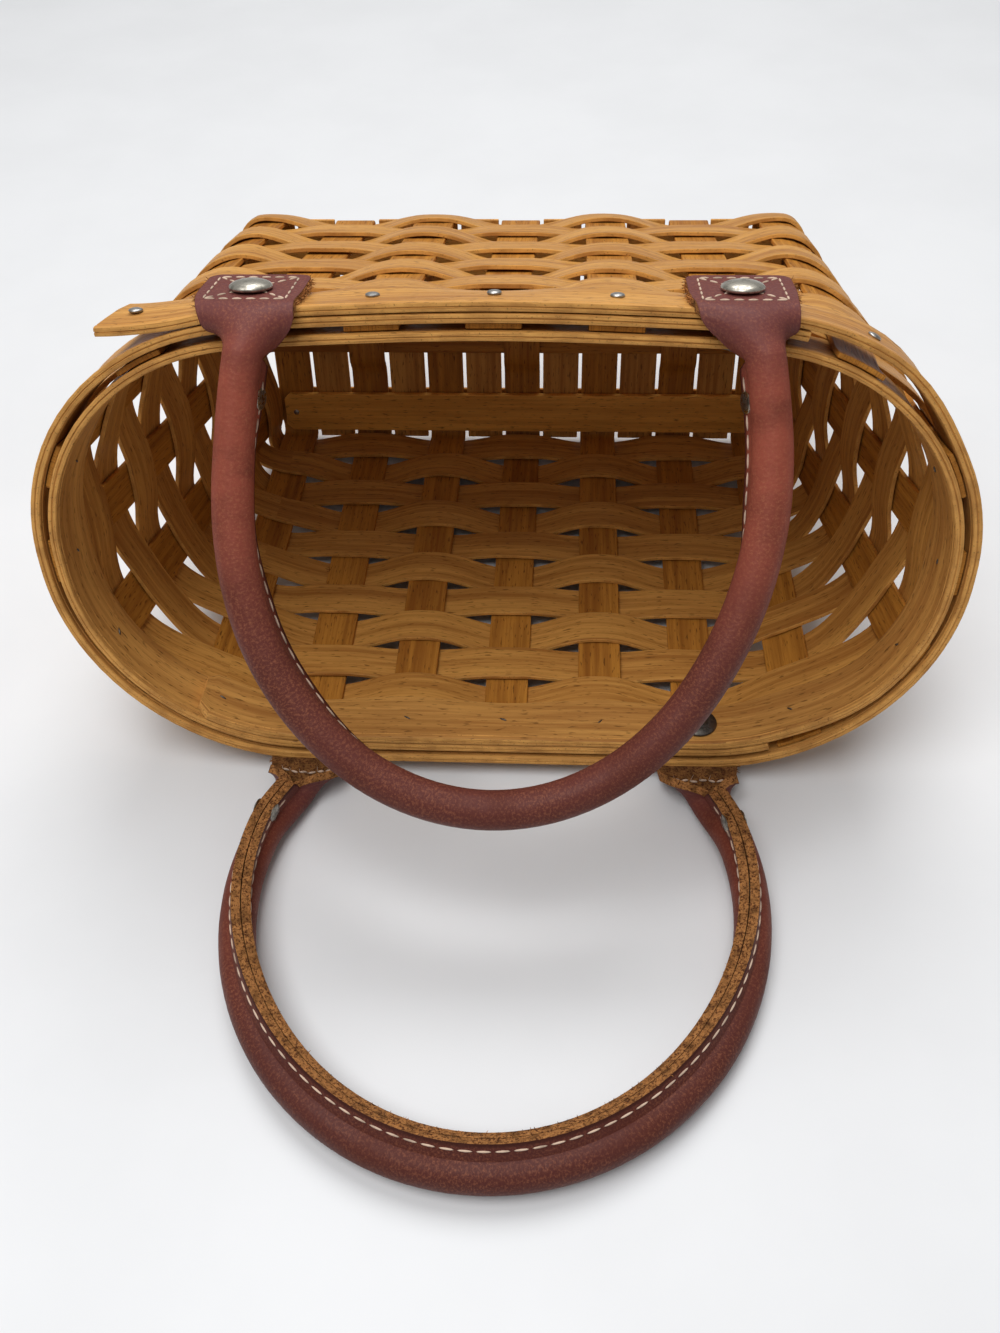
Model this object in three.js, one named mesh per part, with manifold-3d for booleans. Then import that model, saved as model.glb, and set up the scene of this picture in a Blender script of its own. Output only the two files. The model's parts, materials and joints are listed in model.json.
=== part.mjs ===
// Splint basket with two rolled leather handles, lying on its long side.
// Millimetres, +Z up. The opening faces -Y and the base faces +Y.
// The basket is built standing on its base (local +Z towards the rim) and then laid down.
import * as THREE from 'three';
import { mergeVertices } from 'three/addons/utils/BufferGeometryUtils.js';
import Module from 'manifold-3d';

const wasm = await Module();
wasm.setup();

// Driving dimensions

// Fit between pieces that touch
const CLEARANCE = 0.3;

// Splints: uprights, weavers and floor fillers are cut from the same stock
const SPLINT_WIDTH = 12.7;
const SPLINT_THICKNESS = 1.3;
const UPRIGHTS_PER_SIDE = 7;
const UPRIGHTS_PER_END = 3;
const WEAVER_ROWS = 10;
const ROW_GAP = 1.1;
// Gap between an upright and the filler beside it on the floor
const FILLER_GAP = 1.18;
// The weavers lie flat a little past both edges of each upright
const FLAT_MARGIN = 1.7;
// Every other side upright is pushed out of line by the weavers
const UPRIGHT_SWAY = 0.55;

// Rim, measured over the outer band
const RIM_LENGTH = 237;
const RIM_WIDTH = 129;
// Straight stretch at the middle of each round end
const RIM_END_FLAT = 3.3;
const BAND_WIDTH = 15.2;
const OUTER_BAND_THICKNESS = 3.2;
const INNER_BAND_THICKNESS = 3.0;
// The uprights end a little below the rim
const UPRIGHT_TOP_DROP = 1.6;
// The outer band's loose end, past the middle of the last side upright
const LAP_TAIL = 11;

// Floor: room from the outermost uprights' edges to the walls they run beside
const BASE_END_ROOM = 1.15;
const BASE_SIDE_ROOM = 5.5;
const BASE_CORNER_RADIUS = 4;
// Room between the floor and the lowest weaver
const FLOOR_ROOM = 1.8;
// Run over which a cross splint climbs over the centre splint
const CLIMB_RUN = 5;
// The fillers end a little outside the middle of the walls
const FILLER_OVERHANG = 0.4;
const BAR_WIDTH = 14.4;
const BAR_THICKNESS = 2.4;
// Gap between a bar and the lowest weaver
const BAR_GAP = 0.95;
const BAR_CORNER_CUT = 2.2;

// Leather
const LEATHER_THICKNESS = 2.4;
const TAB_WIDTH = 24;
// The tabs reach a little below the rim band, and a little above the rim before they bend
const TAB_OVERHANG = 1.8;
const TAB_RISE = 2.5;
const TAB_CORNER_RADIUS = 3;
const TAB_CORNER_STEPS = 3;
const NECK_WIDTH = 21;
// The neck starts to roll up and is closed at these distances from the hinge
const NECK_START = 2;
const NECK_LENGTH = 16;
const NECK_END_STEPS = 2;
const CORE_DIAMETER = 4.2;
const ROLL_STEPS = 4;
const SEAM_SLIT = 0.4;
const SEAM_WIDTH = 5;
// Each seam leans into its loop towards the middle of the handle
const LOWER_SEAM_LEAN = THREE.MathUtils.degToRad(40);
const UPPER_SEAM_LEAN = THREE.MathUtils.degToRad(14);
// The two loops were formed by hand: half of each one's width, and how far each one reaches
const LOWER_HANDLE_SPREAD = 67;
const LOWER_HANDLE_REACH = 111.7;
const UPPER_HANDLE_SPREAD = 60.5;
const UPPER_HANDLE_REACH = 114.1;
const HANDLE_LEG = 41;
const LEG_STEPS = 11;
const BOW_STEPS = 16;

// Fasteners
const RIVET_CAP_DIAMETER = 10;
const RIVET_CAP_HEIGHT = 2.1;
const RIVET_SHANK_DIAMETER = 3.2;
const RIVET_CAP_STEPS = 4;
// Uprights between each rivet and the corner beside it
const UPRIGHTS_PER_CORNER = 1;
const PEEN_HEIGHT = 0.7;
const PEEN_DIAMETER = 4.6;
const BURR_DIAMETER = 10.5;
const BURR_THICKNESS = 1;
const BURR_EDGE = 0.6;
const TACK_HEAD_DIAMETER = 3.4;
const TACK_HEAD_HEIGHT = 0.7;
const TACK_SHANK_DIAMETER = 1.3;
const TACK_CLINCH = 0.6;
const SMALL_HEAD_STEPS = 2;
const NECK_RIVET_DIAMETER = 5.2;
const NECK_RIVET_HEAD = 0.9;
const NECK_RIVET_SHANK = 2;
const HOLE_SIDES = 8;
const ROUND_SIDES = 12;

// How it lies: the upper handle hangs over the opening, this far from vertical
const UPPER_HANDLE_HANG = THREE.MathUtils.degToRad(36.3);

// Levels and offsets worked out from the driving dimensions

const HALF_SPLINT = SPLINT_THICKNESS / 2;
const LAYER = SPLINT_THICKNESS + CLEARANCE;
const UPRIGHT_PITCH = 2 * (SPLINT_WIDTH + FILLER_GAP);
const sideReach = (UPRIGHTS_PER_SIDE - 1) / 2;
const endReach = (UPRIGHTS_PER_END - 1) / 2;
const rivetUpright = sideReach - UPRIGHTS_PER_CORNER;

// The floor's half sizes, to the middles of the walls where they turn up
const BASE_HALF_LENGTH = sideReach * UPRIGHT_PITCH + SPLINT_WIDTH / 2 + BASE_END_ROOM;
const BASE_HALF_WIDTH = endReach * UPRIGHT_PITCH + SPLINT_WIDTH / 2 + BASE_SIDE_ROOM;
const BAR_ROOM = LAYER + HALF_SPLINT + BAR_GAP;
const BAR_OFFSET = BASE_HALF_WIDTH - BAR_ROOM - BAR_WIDTH / 2;
const BAR_HALF_LENGTH = BASE_HALF_LENGTH - BAR_ROOM;
const FILLER_HALF_LENGTH = BASE_HALF_WIDTH + FILLER_OVERHANG;

const LOWER_LAYER_Z = HALF_SPLINT;
const FLOOR_Z = LOWER_LAYER_Z + LAYER;
const UPPER_LAYER_Z = FLOOR_Z + LAYER;
const OVER_LAYER_Z = UPPER_LAYER_Z + LAYER;
const ROW_PITCH = SPLINT_WIDTH + ROW_GAP;
const WEAVE_LOW_Z = FLOOR_Z + FLOOR_ROOM;
const BAND_LOW_Z = WEAVE_LOW_Z + ROW_PITCH * WEAVER_ROWS;
const RIM_Z = BAND_LOW_Z + BAND_WIDTH;
const BAND_Z = BAND_LOW_Z + BAND_WIDTH / 2;
const UPRIGHT_TOP_Z = RIM_Z - UPRIGHT_TOP_DROP;
const BAR_LOW_Z = FLOOR_Z + HALF_SPLINT + CLEARANCE;

const OUTER_LAYER = HALF_SPLINT + CLEARANCE + OUTER_BAND_THICKNESS / 2;
const OUTER_LAP = OUTER_LAYER + OUTER_BAND_THICKNESS + CLEARANCE;
const INNER_LAYER = -(HALF_SPLINT + CLEARANCE + INNER_BAND_THICKNESS / 2);
const INNER_LAP = INNER_LAYER - INNER_BAND_THICKNESS - CLEARANCE;
const RIM_WALL = HALF_SPLINT + CLEARANCE + OUTER_BAND_THICKNESS;
const RIM_HALF_LENGTH = RIM_LENGTH / 2 - RIM_WALL;
const RIM_HALF_WIDTH = RIM_WIDTH / 2 - RIM_WALL;
const RIM_CORNER_RADIUS = RIM_HALF_WIDTH - RIM_END_FLAT / 2;
const FLAT_HALF = SPLINT_WIDTH / 2 + FLAT_MARGIN;

// Materials

function material(color, roughness, metalness = 0) {
  return new THREE.MeshStandardMaterial({ color, roughness, metalness, flatShading: true });
}

const weaverWood = material(0xb9813f, 0.55);
const uprightWood = material(0x9c6626, 0.58);
const bandWood = material(0xc08a47, 0.5);
const floorWood = material(0xa5712f, 0.58);
const leather = material(0x6e3229, 0.5);
const cordFibre = material(0xcdbb98, 0.9);
const nickel = material(0x9c9686, 0.32, 1);
const darkNickel = material(0x4d4843, 0.45, 1);
const steel = material(0x8b8b88, 0.4, 1);

// Solids

// A closed solid from a list of vertices and triangles, turned so that its faces point out
function closedSolid(vertices, triangles) {
  const edge = new THREE.Vector3();
  let volume = 0;
  for (const [a, b, c] of triangles) {
    volume += edge.crossVectors(vertices[b], vertices[c]).dot(vertices[a]);
  }
  const facing = volume < 0 ? triangles.map(([a, b, c]) => [a, c, b]) : triangles;
  const geometry = new THREE.BufferGeometry().setFromPoints(vertices);
  geometry.setIndex(facing.flat());
  return geometry;
}

// A sheet swept through stations, each with a row of outer points and a row of inner points
function sheetSolid(stations, closed = false) {
  const across = stations[0].outer.length;
  const ring = across * 2;
  const vertices = stations.flatMap(({ outer, inner }) => [...outer, ...[...inner].reverse()]);
  const triangles = [];
  const quad = (a, b, c, d) => triangles.push([a, b, c], [a, c, d]);
  const count = stations.length;
  const steps = closed ? count : count - 1;
  for (let i = 0; i < steps; i += 1) {
    const here = i * ring;
    const next = ((i + 1) % count) * ring;
    for (let j = 0; j < ring; j += 1) {
      const k = (j + 1) % ring;
      quad(here + j, here + k, next + k, next + j);
    }
  }
  if (!closed) {
    const last = (count - 1) * ring;
    for (let j = 0; j < across - 1; j += 1) {
      const back = ring - 1 - j;
      quad(j, back, back - 1, j + 1);
      quad(last + j, last + j + 1, last + back - 1, last + back);
    }
  }
  return closedSolid(vertices, triangles);
}

// A flat strip bent along a path: each point carries the vector across half of its width
function stripSolid(path, thickness, closed = false) {
  const count = path.length;
  const normals = path.map(({ point, across }, i) => {
    const next = path[(i + 1) % count];
    const run = next.point.clone().sub(point);
    return across.clone().add(next.across).cross(run).normalize();
  });
  const stations = path.map(({ point, across }, i) => {
    const before = normals[closed || i > 0 ? (i - 1 + count) % count : 0];
    const after = normals[closed || i < count - 1 ? i : i - 1];
    const half = before.clone().add(after).multiplyScalar(thickness / 2 / (1 + before.dot(after)));
    const left = point.clone().add(across);
    const right = point.clone().sub(across);
    return {
      outer: [left.clone().add(half), right.clone().add(half)],
      inner: [left.clone().sub(half), right.clone().sub(half)],
    };
  });
  return sheetSolid(stations, closed);
}

function toManifold(geometry) {
  const bare = geometry.clone();
  bare.deleteAttribute('normal');
  bare.deleteAttribute('uv');
  const merged = mergeVertices(bare, 1e-4);
  const vertProperties = new Float32Array(merged.attributes.position.array);
  const triVerts = new Uint32Array(merged.index.array);
  return new wasm.Manifold(new wasm.Mesh({ numProp: 3, vertProperties, triVerts }));
}

function cut(geometry, tools) {
  if (tools.length === 0) return geometry;
  const body = tools.reduce((solid, tool) => solid.subtract(toManifold(tool)), toManifold(geometry));
  const mesh = body.getMesh();
  const result = new THREE.BufferGeometry();
  result.setAttribute('position', new THREE.BufferAttribute(new Float32Array(mesh.vertProperties), 3));
  result.setIndex(new THREE.BufferAttribute(new Uint32Array(mesh.triVerts), 1));
  return result;
}

// A turned piece: (radius, height) pairs from the axis out and back to it
function turned(profile, sides = ROUND_SIDES) {
  return new THREE.LatheGeometry(profile.map(([r, y]) => new THREE.Vector2(r, y)), sides);
}

// Stands a turned piece at a point with its axis along a direction
function stand(geometry, point, direction) {
  const up = new THREE.Vector3(0, 1, 0);
  const turn = new THREE.Quaternion().setFromUnitVectors(up, direction);
  return geometry.applyQuaternion(turn).translate(point.x, point.y, point.z);
}

function drill(point, direction, diameter, depth) {
  const bit = new THREE.CylinderGeometry(diameter / 2, diameter / 2, depth, HOLE_SIDES);
  return stand(bit, point, direction);
}

const basket = new THREE.Group();

function add(parent, name, geometry, finish) {
  const mesh = new THREE.Mesh(geometry, finish);
  mesh.name = name;
  parent.add(mesh);
  return mesh;
}

// Walls: a rounded rectangle that opens out from the floor to the rim

function outlineAt(z) {
  const rise = THREE.MathUtils.clamp((z - FLOOR_Z) / (BAND_LOW_Z - FLOOR_Z), 0, 1);
  const blend = (low, high) => THREE.MathUtils.lerp(low, high, rise);
  return {
    rise,
    halfLength: blend(BASE_HALF_LENGTH, RIM_HALF_LENGTH),
    halfWidth: blend(BASE_HALF_WIDTH, RIM_HALF_WIDTH),
    radius: blend(BASE_CORNER_RADIUS, RIM_CORNER_RADIUS),
  };
}

// Distance out to the wall, and the wall's outward direction, for a place along one side
function wallPlace(along, halfAlong, halfOut, radius) {
  const past = Math.max(Math.abs(along) - (halfAlong - radius), 0);
  const rise = Math.sqrt(radius * radius - past * past);
  return {
    out: halfOut - radius + rise,
    slant: (Math.sign(along) * past) / radius,
    facing: rise / radius,
  };
}

// Every second side upright, counted from a corner
const isSecond = (k) => (k + sideReach) % 2 === 1;

function sideUpright(k, side) {
  const x = k * UPRIGHT_PITCH;
  const sway = isSecond(k) ? -UPRIGHT_SWAY : UPRIGHT_SWAY;
  return (z) => {
    const { rise, halfLength, halfWidth, radius } = outlineAt(z);
    const { out, slant, facing } = wallPlace(x, halfLength, halfWidth, radius);
    const y = side * out + sway * Math.sin(Math.PI * rise);
    return {
      point: new THREE.Vector3(x, y, z),
      normal: new THREE.Vector3(slant, side * facing, 0),
    };
  };
}

function endUpright(m, side) {
  const y = m * UPRIGHT_PITCH;
  return (z) => {
    const { halfLength, halfWidth, radius } = outlineAt(z);
    const { out, slant, facing } = wallPlace(y, halfWidth, halfLength, radius);
    return {
      point: new THREE.Vector3(side * out, y, z),
      normal: new THREE.Vector3(side * facing, slant, 0),
    };
  };
}

// Direction along the wall, anticlockwise seen from above
function alongWall(normal) {
  return new THREE.Vector3(-normal.y, normal.x, 0);
}

const sideNumbers = Array.from({ length: UPRIGHTS_PER_SIDE }, (_, i) => i - sideReach);
const endNumbers = Array.from({ length: UPRIGHTS_PER_END }, (_, i) => i - endReach);

// The uprights in order round the basket, anticlockwise from the lower side's left end
const lowerSide = sideNumbers.map((k) => sideUpright(k, -1));
const rightEnd = endNumbers.map((m) => endUpright(m, 1));
const upperSide = sideNumbers.map((k) => sideUpright(-k, 1));
const leftEnd = endNumbers.map((m) => endUpright(-m, -1));
const wallUprights = [...lowerSide, ...rightEnd, ...upperSide, ...leftEnd];
const rimCount = wallUprights.length;
const lowerIndex = (k) => k + sideReach;
const upperIndex = (k) => UPRIGHTS_PER_SIDE + UPRIGHTS_PER_END + sideReach - k;

const rowEdges = Array.from({ length: WEAVER_ROWS + 1 }, (_, i) => BAND_LOW_Z - ROW_PITCH * i);
const wallHeights = [UPRIGHT_TOP_Z, ...rowEdges];

// Rim bands: their path is flat at each upright and rounds the corners between them

function rimStations(offset) {
  const flats = wallUprights.map((place) => {
    const { point, normal } = place(BAND_Z);
    const along = alongWall(normal).multiplyScalar(FLAT_HALF);
    const middle = point.clone().addScaledVector(normal, offset);
    return { normal, from: middle.clone().sub(along), to: middle.clone().add(along) };
  });
  return flats.map((flat, i) => {
    const next = flats[(i + 1) % rimCount];
    const chord = next.from.clone().sub(flat.to);
    const turn = flat.normal.angleTo(next.normal);
    const bulge = (chord.length() / 2) * Math.tan(turn / 4);
    const outward = flat.normal.clone().add(next.normal).normalize();
    const between = flat.to.clone().addScaledVector(chord, 0.5).addScaledVector(outward, bulge);
    return { ...flat, between };
  });
}

const bandAcross = new THREE.Vector3(0, 0, BAND_WIDTH / 2);

function bandPath(points) {
  return points.map((point) => ({ point: point.clone().setZ(BAND_Z), across: bandAcross.clone() }));
}

// Wraps from one upright's flat to another's, anticlockwise, with the rounded stretch after each
function wrap(stations, first, count) {
  const points = [];
  for (let i = 0; i < count; i += 1) {
    const station = stations[(first + i) % rimCount];
    points.push(station.from, station.to, station.between);
  }
  return points;
}

const outerLayer = rimStations(OUTER_LAYER);
const outerLap = rimStations(OUTER_LAP);
const innerLayer = rimStations(INNER_LAYER);
const innerLap = rimStations(INNER_LAP);

// The outer band starts under its own lap near the upper right corner and ends in a straight tail
function outerBandPoints() {
  const lapStart = upperIndex(sideReach);
  const lapEnd = upperIndex(-sideReach) - 1;
  const round = wrap(outerLayer, lapStart + 1, rimCount - 1).slice(0, -1);
  const lap = wrap(outerLap, lapStart, lapEnd - lapStart + 1).slice(0, -1);
  const tail = lap.at(-1).clone();
  tail.x = -(sideReach * UPRIGHT_PITCH + LAP_TAIL);
  const climb = outerLayer[lapStart - 1].between.clone().lerp(outerLap[lapStart - 1].between, 0.5);
  return [outerLayer[lapStart].between, ...round, climb, ...lap, tail];
}

// The inner band starts inside its own lap along the lower side
function innerBandPoints() {
  const first = lowerIndex(-sideReach);
  const last = lowerIndex(sideReach);
  const lap = wrap(innerLap, first + 1, last - first - 1);
  const round = wrap(innerLayer, last, rimCount - 1);
  return [innerLap[first].between, ...lap, ...round];
}

// Fasteners that pass through the rim, each with its holes

const rimPlace = (k, upper) => wallUprights[upper ? upperIndex(k) : lowerIndex(k)](BAND_Z);
const outerFace = (lapped) => (lapped ? OUTER_LAP : OUTER_LAYER) + OUTER_BAND_THICKNESS / 2;
const innerFace = (lapped) => (lapped ? INNER_LAP : INNER_LAYER) - INNER_BAND_THICKNESS / 2;

const TAB_SEAT = CLEARANCE;
const CAP_SEAT = TAB_SEAT + LEATHER_THICKNESS + CLEARANCE;
const SHANK_ROOM = 2 * CLEARANCE;

function rivetSite(k, upper) {
  const name = `${upper ? 'upper' : 'lower'}_${k < 0 ? 'left' : 'right'}`;
  return { name, ...rimPlace(k, upper), outside: outerFace(upper), inside: innerFace(!upper) };
}

const rivetSites = [false, true].flatMap((upper) => (
  [-rivetUpright, rivetUpright].map((k) => rivetSite(k, upper))));

// The last tack on the upper left holds the outer band's straight tail
function tackSite(k, upper, number) {
  const name = `rim_tack_${upper ? 'upper' : 'lower'}_${number}`;
  const { point, normal } = rimPlace(k, upper);
  const outside = outerFace(upper);
  if (!upper || k > -sideReach) return { name, point, normal, outside, inside: innerFace(!upper) };
  const beside = rimPlace(k + 1, upper);
  const inTail = point.clone().setY(beside.point.y);
  return { name, point: inTail, normal: beside.normal, outside, inside: outside - OUTER_BAND_THICKNESS };
}

const upperTacks = sideNumbers.filter((k) => Math.abs(k) !== rivetUpright);
const lowerTacks = sideNumbers.filter((k) => Math.abs(k) < rivetUpright);
const tackSites = [
  ...lowerTacks.map((k, i) => tackSite(k, false, i + 1)),
  ...upperTacks.map((k, i) => tackSite(k, true, i + 1)),
];

// A hole through everything between two offsets from the wall's middle
function holeThrough({ point, normal }, from, to, diameter) {
  const middle = point.clone().addScaledVector(normal, (from + to) / 2);
  return drill(middle, normal, diameter + SHANK_ROOM, to - from + 2 * CLEARANCE);
}

const rivetDrills = rivetSites.map((site) => (
  holeThrough(site, site.inside, site.outside + CAP_SEAT, RIVET_SHANK_DIAMETER)));
const tackDrills = tackSites.map((site) => (
  holeThrough(site, site.inside, site.outside, TACK_SHANK_DIAMETER)));
const rimDrills = [...rivetDrills, ...tackDrills];

const outerBand = stripSolid(bandPath(outerBandPoints()), OUTER_BAND_THICKNESS);
const innerBand = stripSolid(bandPath(innerBandPoints()), INNER_BAND_THICKNESS);
add(basket, 'rim_outer_band', cut(outerBand, rimDrills), bandWood);
add(basket, 'rim_inner_band', cut(innerBand, rimDrills), bandWood);

// Weavers: each row is a ring that passes inside and outside the uprights in turn

function weaverPath(row) {
  return wallUprights.flatMap((place, j) => {
    const top = place(rowEdges[row - 1]);
    const low = place(rowEdges[row]);
    const rise = top.point.clone().sub(low.point).normalize();
    const lift = (row + j) % 2 === 1 ? -LAYER : LAYER;
    const beside = ({ point, normal }, step) => {
      const along = alongWall(normal);
      const out = along.clone().cross(rise).normalize();
      return point.clone().addScaledVector(out, lift).addScaledVector(along, step);
    };
    return [-FLAT_HALF, FLAT_HALF].map((step) => {
      const high = beside(top, step);
      const across = high.clone().sub(beside(low, step)).divideScalar(2);
      return { point: high.sub(across), across: across.clone().setLength(SPLINT_WIDTH / 2) };
    });
  });
}

for (let row = 1; row <= WEAVER_ROWS; row += 1) {
  const name = `weaver_row_${String(row).padStart(2, '0')}`;
  add(basket, name, stripSolid(weaverPath(row), SPLINT_THICKNESS, true), weaverWood);
}

// Uprights: each runs down one wall, across the floor and up the opposite wall

// The stretch of an upright on one wall, from the rim down to where it turns in at a floor level
function wallRun(place, floorLevel, flip) {
  const run = wallHeights.map((z) => place(z));
  const foot = place(FLOOR_Z);
  foot.point.z = floorLevel;
  return [...run, foot].map(({ point, normal }) => ({
    point,
    across: alongWall(normal).multiplyScalar((flip ? -1 : 1) * SPLINT_WIDTH / 2),
  }));
}

// A point of a strip that crosses the floor
function floorPoint(x, y, z) {
  return { point: new THREE.Vector3(x, y, z), across: new THREE.Vector3(SPLINT_WIDTH / 2, 0, 0) };
}

function crossSplintPath(k) {
  const x = k * UPRIGHT_PITCH;
  const foot = FLAT_HALF + CLIMB_RUN;
  const hump = [
    [-foot, FLOOR_Z],
    [-FLAT_HALF, OVER_LAYER_Z],
    [FLAT_HALF, OVER_LAYER_Z],
    [foot, FLOOR_Z],
  ];
  const floor = isSecond(k) ? hump.map(([y, z]) => floorPoint(x, y, z)) : [];
  const down = wallRun(sideUpright(k, -1), FLOOR_Z, false);
  const up = wallRun(sideUpright(k, 1), FLOOR_Z, true).reverse();
  return [...down, ...floor, ...up];
}

sideNumbers.forEach((k, i) => {
  const solid = stripSolid(crossSplintPath(k), SPLINT_THICKNESS);
  const drills = Math.abs(k) === rivetUpright ? rivetDrills : tackDrills;
  add(basket, `cross_upright_${i + 1}`, cut(solid, drills), uprightWood);
});

const endNames = ['lower', 'centre', 'upper'];

endNumbers.forEach((m, i) => {
  const level = m === 0 ? UPPER_LAYER_Z : LOWER_LAYER_Z;
  const down = wallRun(endUpright(m, 1), level, false);
  const up = wallRun(endUpright(m, -1), level, true).reverse();
  add(basket, `long_upright_${endNames[i]}`, stripSolid([...down, ...up], SPLINT_THICKNESS), uprightWood);
});

// Floor fillers between the cross uprights

for (let i = 0; i < UPRIGHTS_PER_SIDE - 1; i += 1) {
  const x = (i - sideReach) * UPRIGHT_PITCH + UPRIGHT_PITCH / 2;
  const ends = [-FILLER_HALF_LENGTH, FILLER_HALF_LENGTH];
  const path = ends.map((y) => floorPoint(x, y, FLOOR_Z));
  add(basket, `floor_filler_${i + 1}`, stripSolid(path, SPLINT_THICKNESS), floorWood);
}

// Floor bars along both long edges, with cut corners

function barOutline() {
  const half = BAR_HALF_LENGTH;
  const side = BAR_WIDTH / 2;
  const shape = new THREE.Shape();
  shape.moveTo(half, side - BAR_CORNER_CUT);
  shape.lineTo(half - BAR_CORNER_CUT, side);
  shape.lineTo(BAR_CORNER_CUT - half, side);
  shape.lineTo(-half, side - BAR_CORNER_CUT);
  shape.lineTo(-half, BAR_CORNER_CUT - side);
  shape.lineTo(BAR_CORNER_CUT - half, -side);
  shape.lineTo(half - BAR_CORNER_CUT, -side);
  shape.lineTo(half, BAR_CORNER_CUT - side);
  return shape;
}

for (const [name, side] of [['lower', -1], ['upper', 1]]) {
  const plate = new THREE.ExtrudeGeometry(barOutline(), { depth: BAR_THICKNESS, bevelEnabled: false });
  plate.translate(0, side * BAR_OFFSET, BAR_LOW_Z);
  add(basket, `floor_bar_${name}`, plate, floorWood);
}

// Fasteners

// A domed head's profile, from its edge up to its crown
function dome(radius, height, steps) {
  const edge = Array.from({ length: steps }, (_, i) => {
    const angle = (i * Math.PI) / 2 / steps;
    return [radius * Math.cos(angle), height * Math.sin(angle)];
  });
  return [...edge, [0, height]];
}

function tack(length) {
  const shank = TACK_SHANK_DIAMETER / 2;
  const head = dome(TACK_HEAD_DIAMETER / 2, TACK_HEAD_HEIGHT, SMALL_HEAD_STEPS);
  return turned([[0, -length], [shank, shank - length], [shank, 0], ...head], HOLE_SIDES);
}

for (const { name, point, normal, outside, inside } of tackSites) {
  const seat = point.clone().addScaledVector(normal, outside + CLEARANCE);
  const length = outside - inside + CLEARANCE + TACK_CLINCH;
  add(basket, name, stand(tack(length), seat, normal), steel);
}

function capRivet(length) {
  const shank = RIVET_SHANK_DIAMETER / 2;
  const peen = PEEN_DIAMETER / 2;
  const tip = -length - PEEN_HEIGHT;
  const cap = dome(RIVET_CAP_DIAMETER / 2, RIVET_CAP_HEIGHT, RIVET_CAP_STEPS);
  return turned([[0, tip], [peen, tip], [peen, -length], [shank, -length], [shank, 0], ...cap]);
}

function burr() {
  const hole = (RIVET_SHANK_DIAMETER + SHANK_ROOM) / 2;
  const edge = BURR_DIAMETER / 2;
  return turned([[hole, 0], [edge, 0], [edge, BURR_EDGE], [hole, BURR_THICKNESS], [hole, 0]]);
}

function tabOutline() {
  const half = TAB_WIDTH / 2;
  const low = -BAND_WIDTH - TAB_OVERHANG;
  const r = TAB_CORNER_RADIUS;
  const shape = new THREE.Shape();
  shape.moveTo(-half, TAB_RISE);
  shape.lineTo(-half, low + r);
  shape.absarc(r - half, low + r, r, Math.PI, 1.5 * Math.PI);
  shape.lineTo(half - r, low);
  shape.absarc(half - r, low + r, r, 1.5 * Math.PI, 2 * Math.PI);
  shape.lineTo(half, TAB_RISE);
  return shape;
}

for (const { name, point, normal, outside, inside } of rivetSites) {
  const plate = new THREE.ExtrudeGeometry(tabOutline(), {
    depth: LEATHER_THICKNESS,
    bevelEnabled: false,
    curveSegments: TAB_CORNER_STEPS,
  });
  plate.rotateX(Math.PI / 2);
  plate.rotateZ(Math.atan2(normal.y, normal.x) + Math.PI / 2);
  const face = point.clone().addScaledVector(normal, outside + TAB_SEAT);
  plate.translate(face.x, face.y, RIM_Z);
  add(basket, `tab_${name}`, cut(plate, rivetDrills), leather);

  const seat = point.clone().addScaledVector(normal, outside + CAP_SEAT);
  const length = CAP_SEAT + outside - inside + BURR_THICKNESS + 2 * CLEARANCE;
  add(basket, `rivet_${name}`, stand(capRivet(length), seat, normal), nickel);

  const burrSeat = point.clone().addScaledVector(normal, inside - CLEARANCE);
  add(basket, `burr_${name}`, stand(burr(), burrSeat, normal.clone().negate()), darkNickel);
}

// Handles: a strip of leather that rolls up round a cord, with both edges sewn side by side

const ROLL_RADIUS = CORE_DIAMETER / 2 + CLEARANCE + LEATHER_THICKNESS / 2;
const SEAM_SIDE = (SEAM_SLIT + LEATHER_THICKNESS) / 2;
const ROLL_TURN = Math.PI - Math.asin(SEAM_SIDE / ROLL_RADIUS);
const ROLL_HALF = ROLL_RADIUS * ROLL_TURN + SEAM_WIDTH;

// Half of the strip's section, from its middle to the sewn edge; share 0 is flat, 1 is rolled up
function halfSection(share) {
  const width = THREE.MathUtils.lerp(NECK_WIDTH / 2 / ROLL_HALF, 1, share);
  const step = (ROLL_RADIUS * ROLL_TURN * width) / ROLL_STEPS;
  const turn = ROLL_TURN / ROLL_STEPS;
  const rollRuns = Array.from({ length: ROLL_STEPS }, (_, i) => [i * turn + turn / 2, step]);
  const runs = [...rollRuns, [Math.PI / 2, SEAM_WIDTH * width]];
  const points = [new THREE.Vector2(0, -ROLL_RADIUS * share)];
  for (const [heading, length] of runs) {
    const direction = new THREE.Vector2(Math.cos(heading * share), Math.sin(heading * share));
    points.push(points.at(-1).clone().addScaledVector(direction, length));
  }
  return points;
}

// Offsets a half section to both faces of the leather, mitred at its corners
function leatherFaces(points, thickness) {
  const normals = points.slice(1).map((point, i) => {
    const run = point.clone().sub(points[i]).normalize();
    return new THREE.Vector2(run.y, -run.x);
  });
  const offsets = points.map((_, i) => {
    const after = normals[Math.min(i, normals.length - 1)];
    const before = i === 0 ? new THREE.Vector2(-after.x, after.y) : normals[i - 1];
    return before.clone().add(after).multiplyScalar(thickness / 2 / (1 + before.dot(after)));
  });
  const flipped = ({ x, y }) => new THREE.Vector2(-x, y);
  const mirror = (half) => [...half.slice(1).reverse().map(flipped), ...half];
  return {
    outer: mirror(points.map((point, i) => point.clone().add(offsets[i]))),
    inner: mirror(points.map((point, i) => point.clone().sub(offsets[i]))),
  };
}

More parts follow.
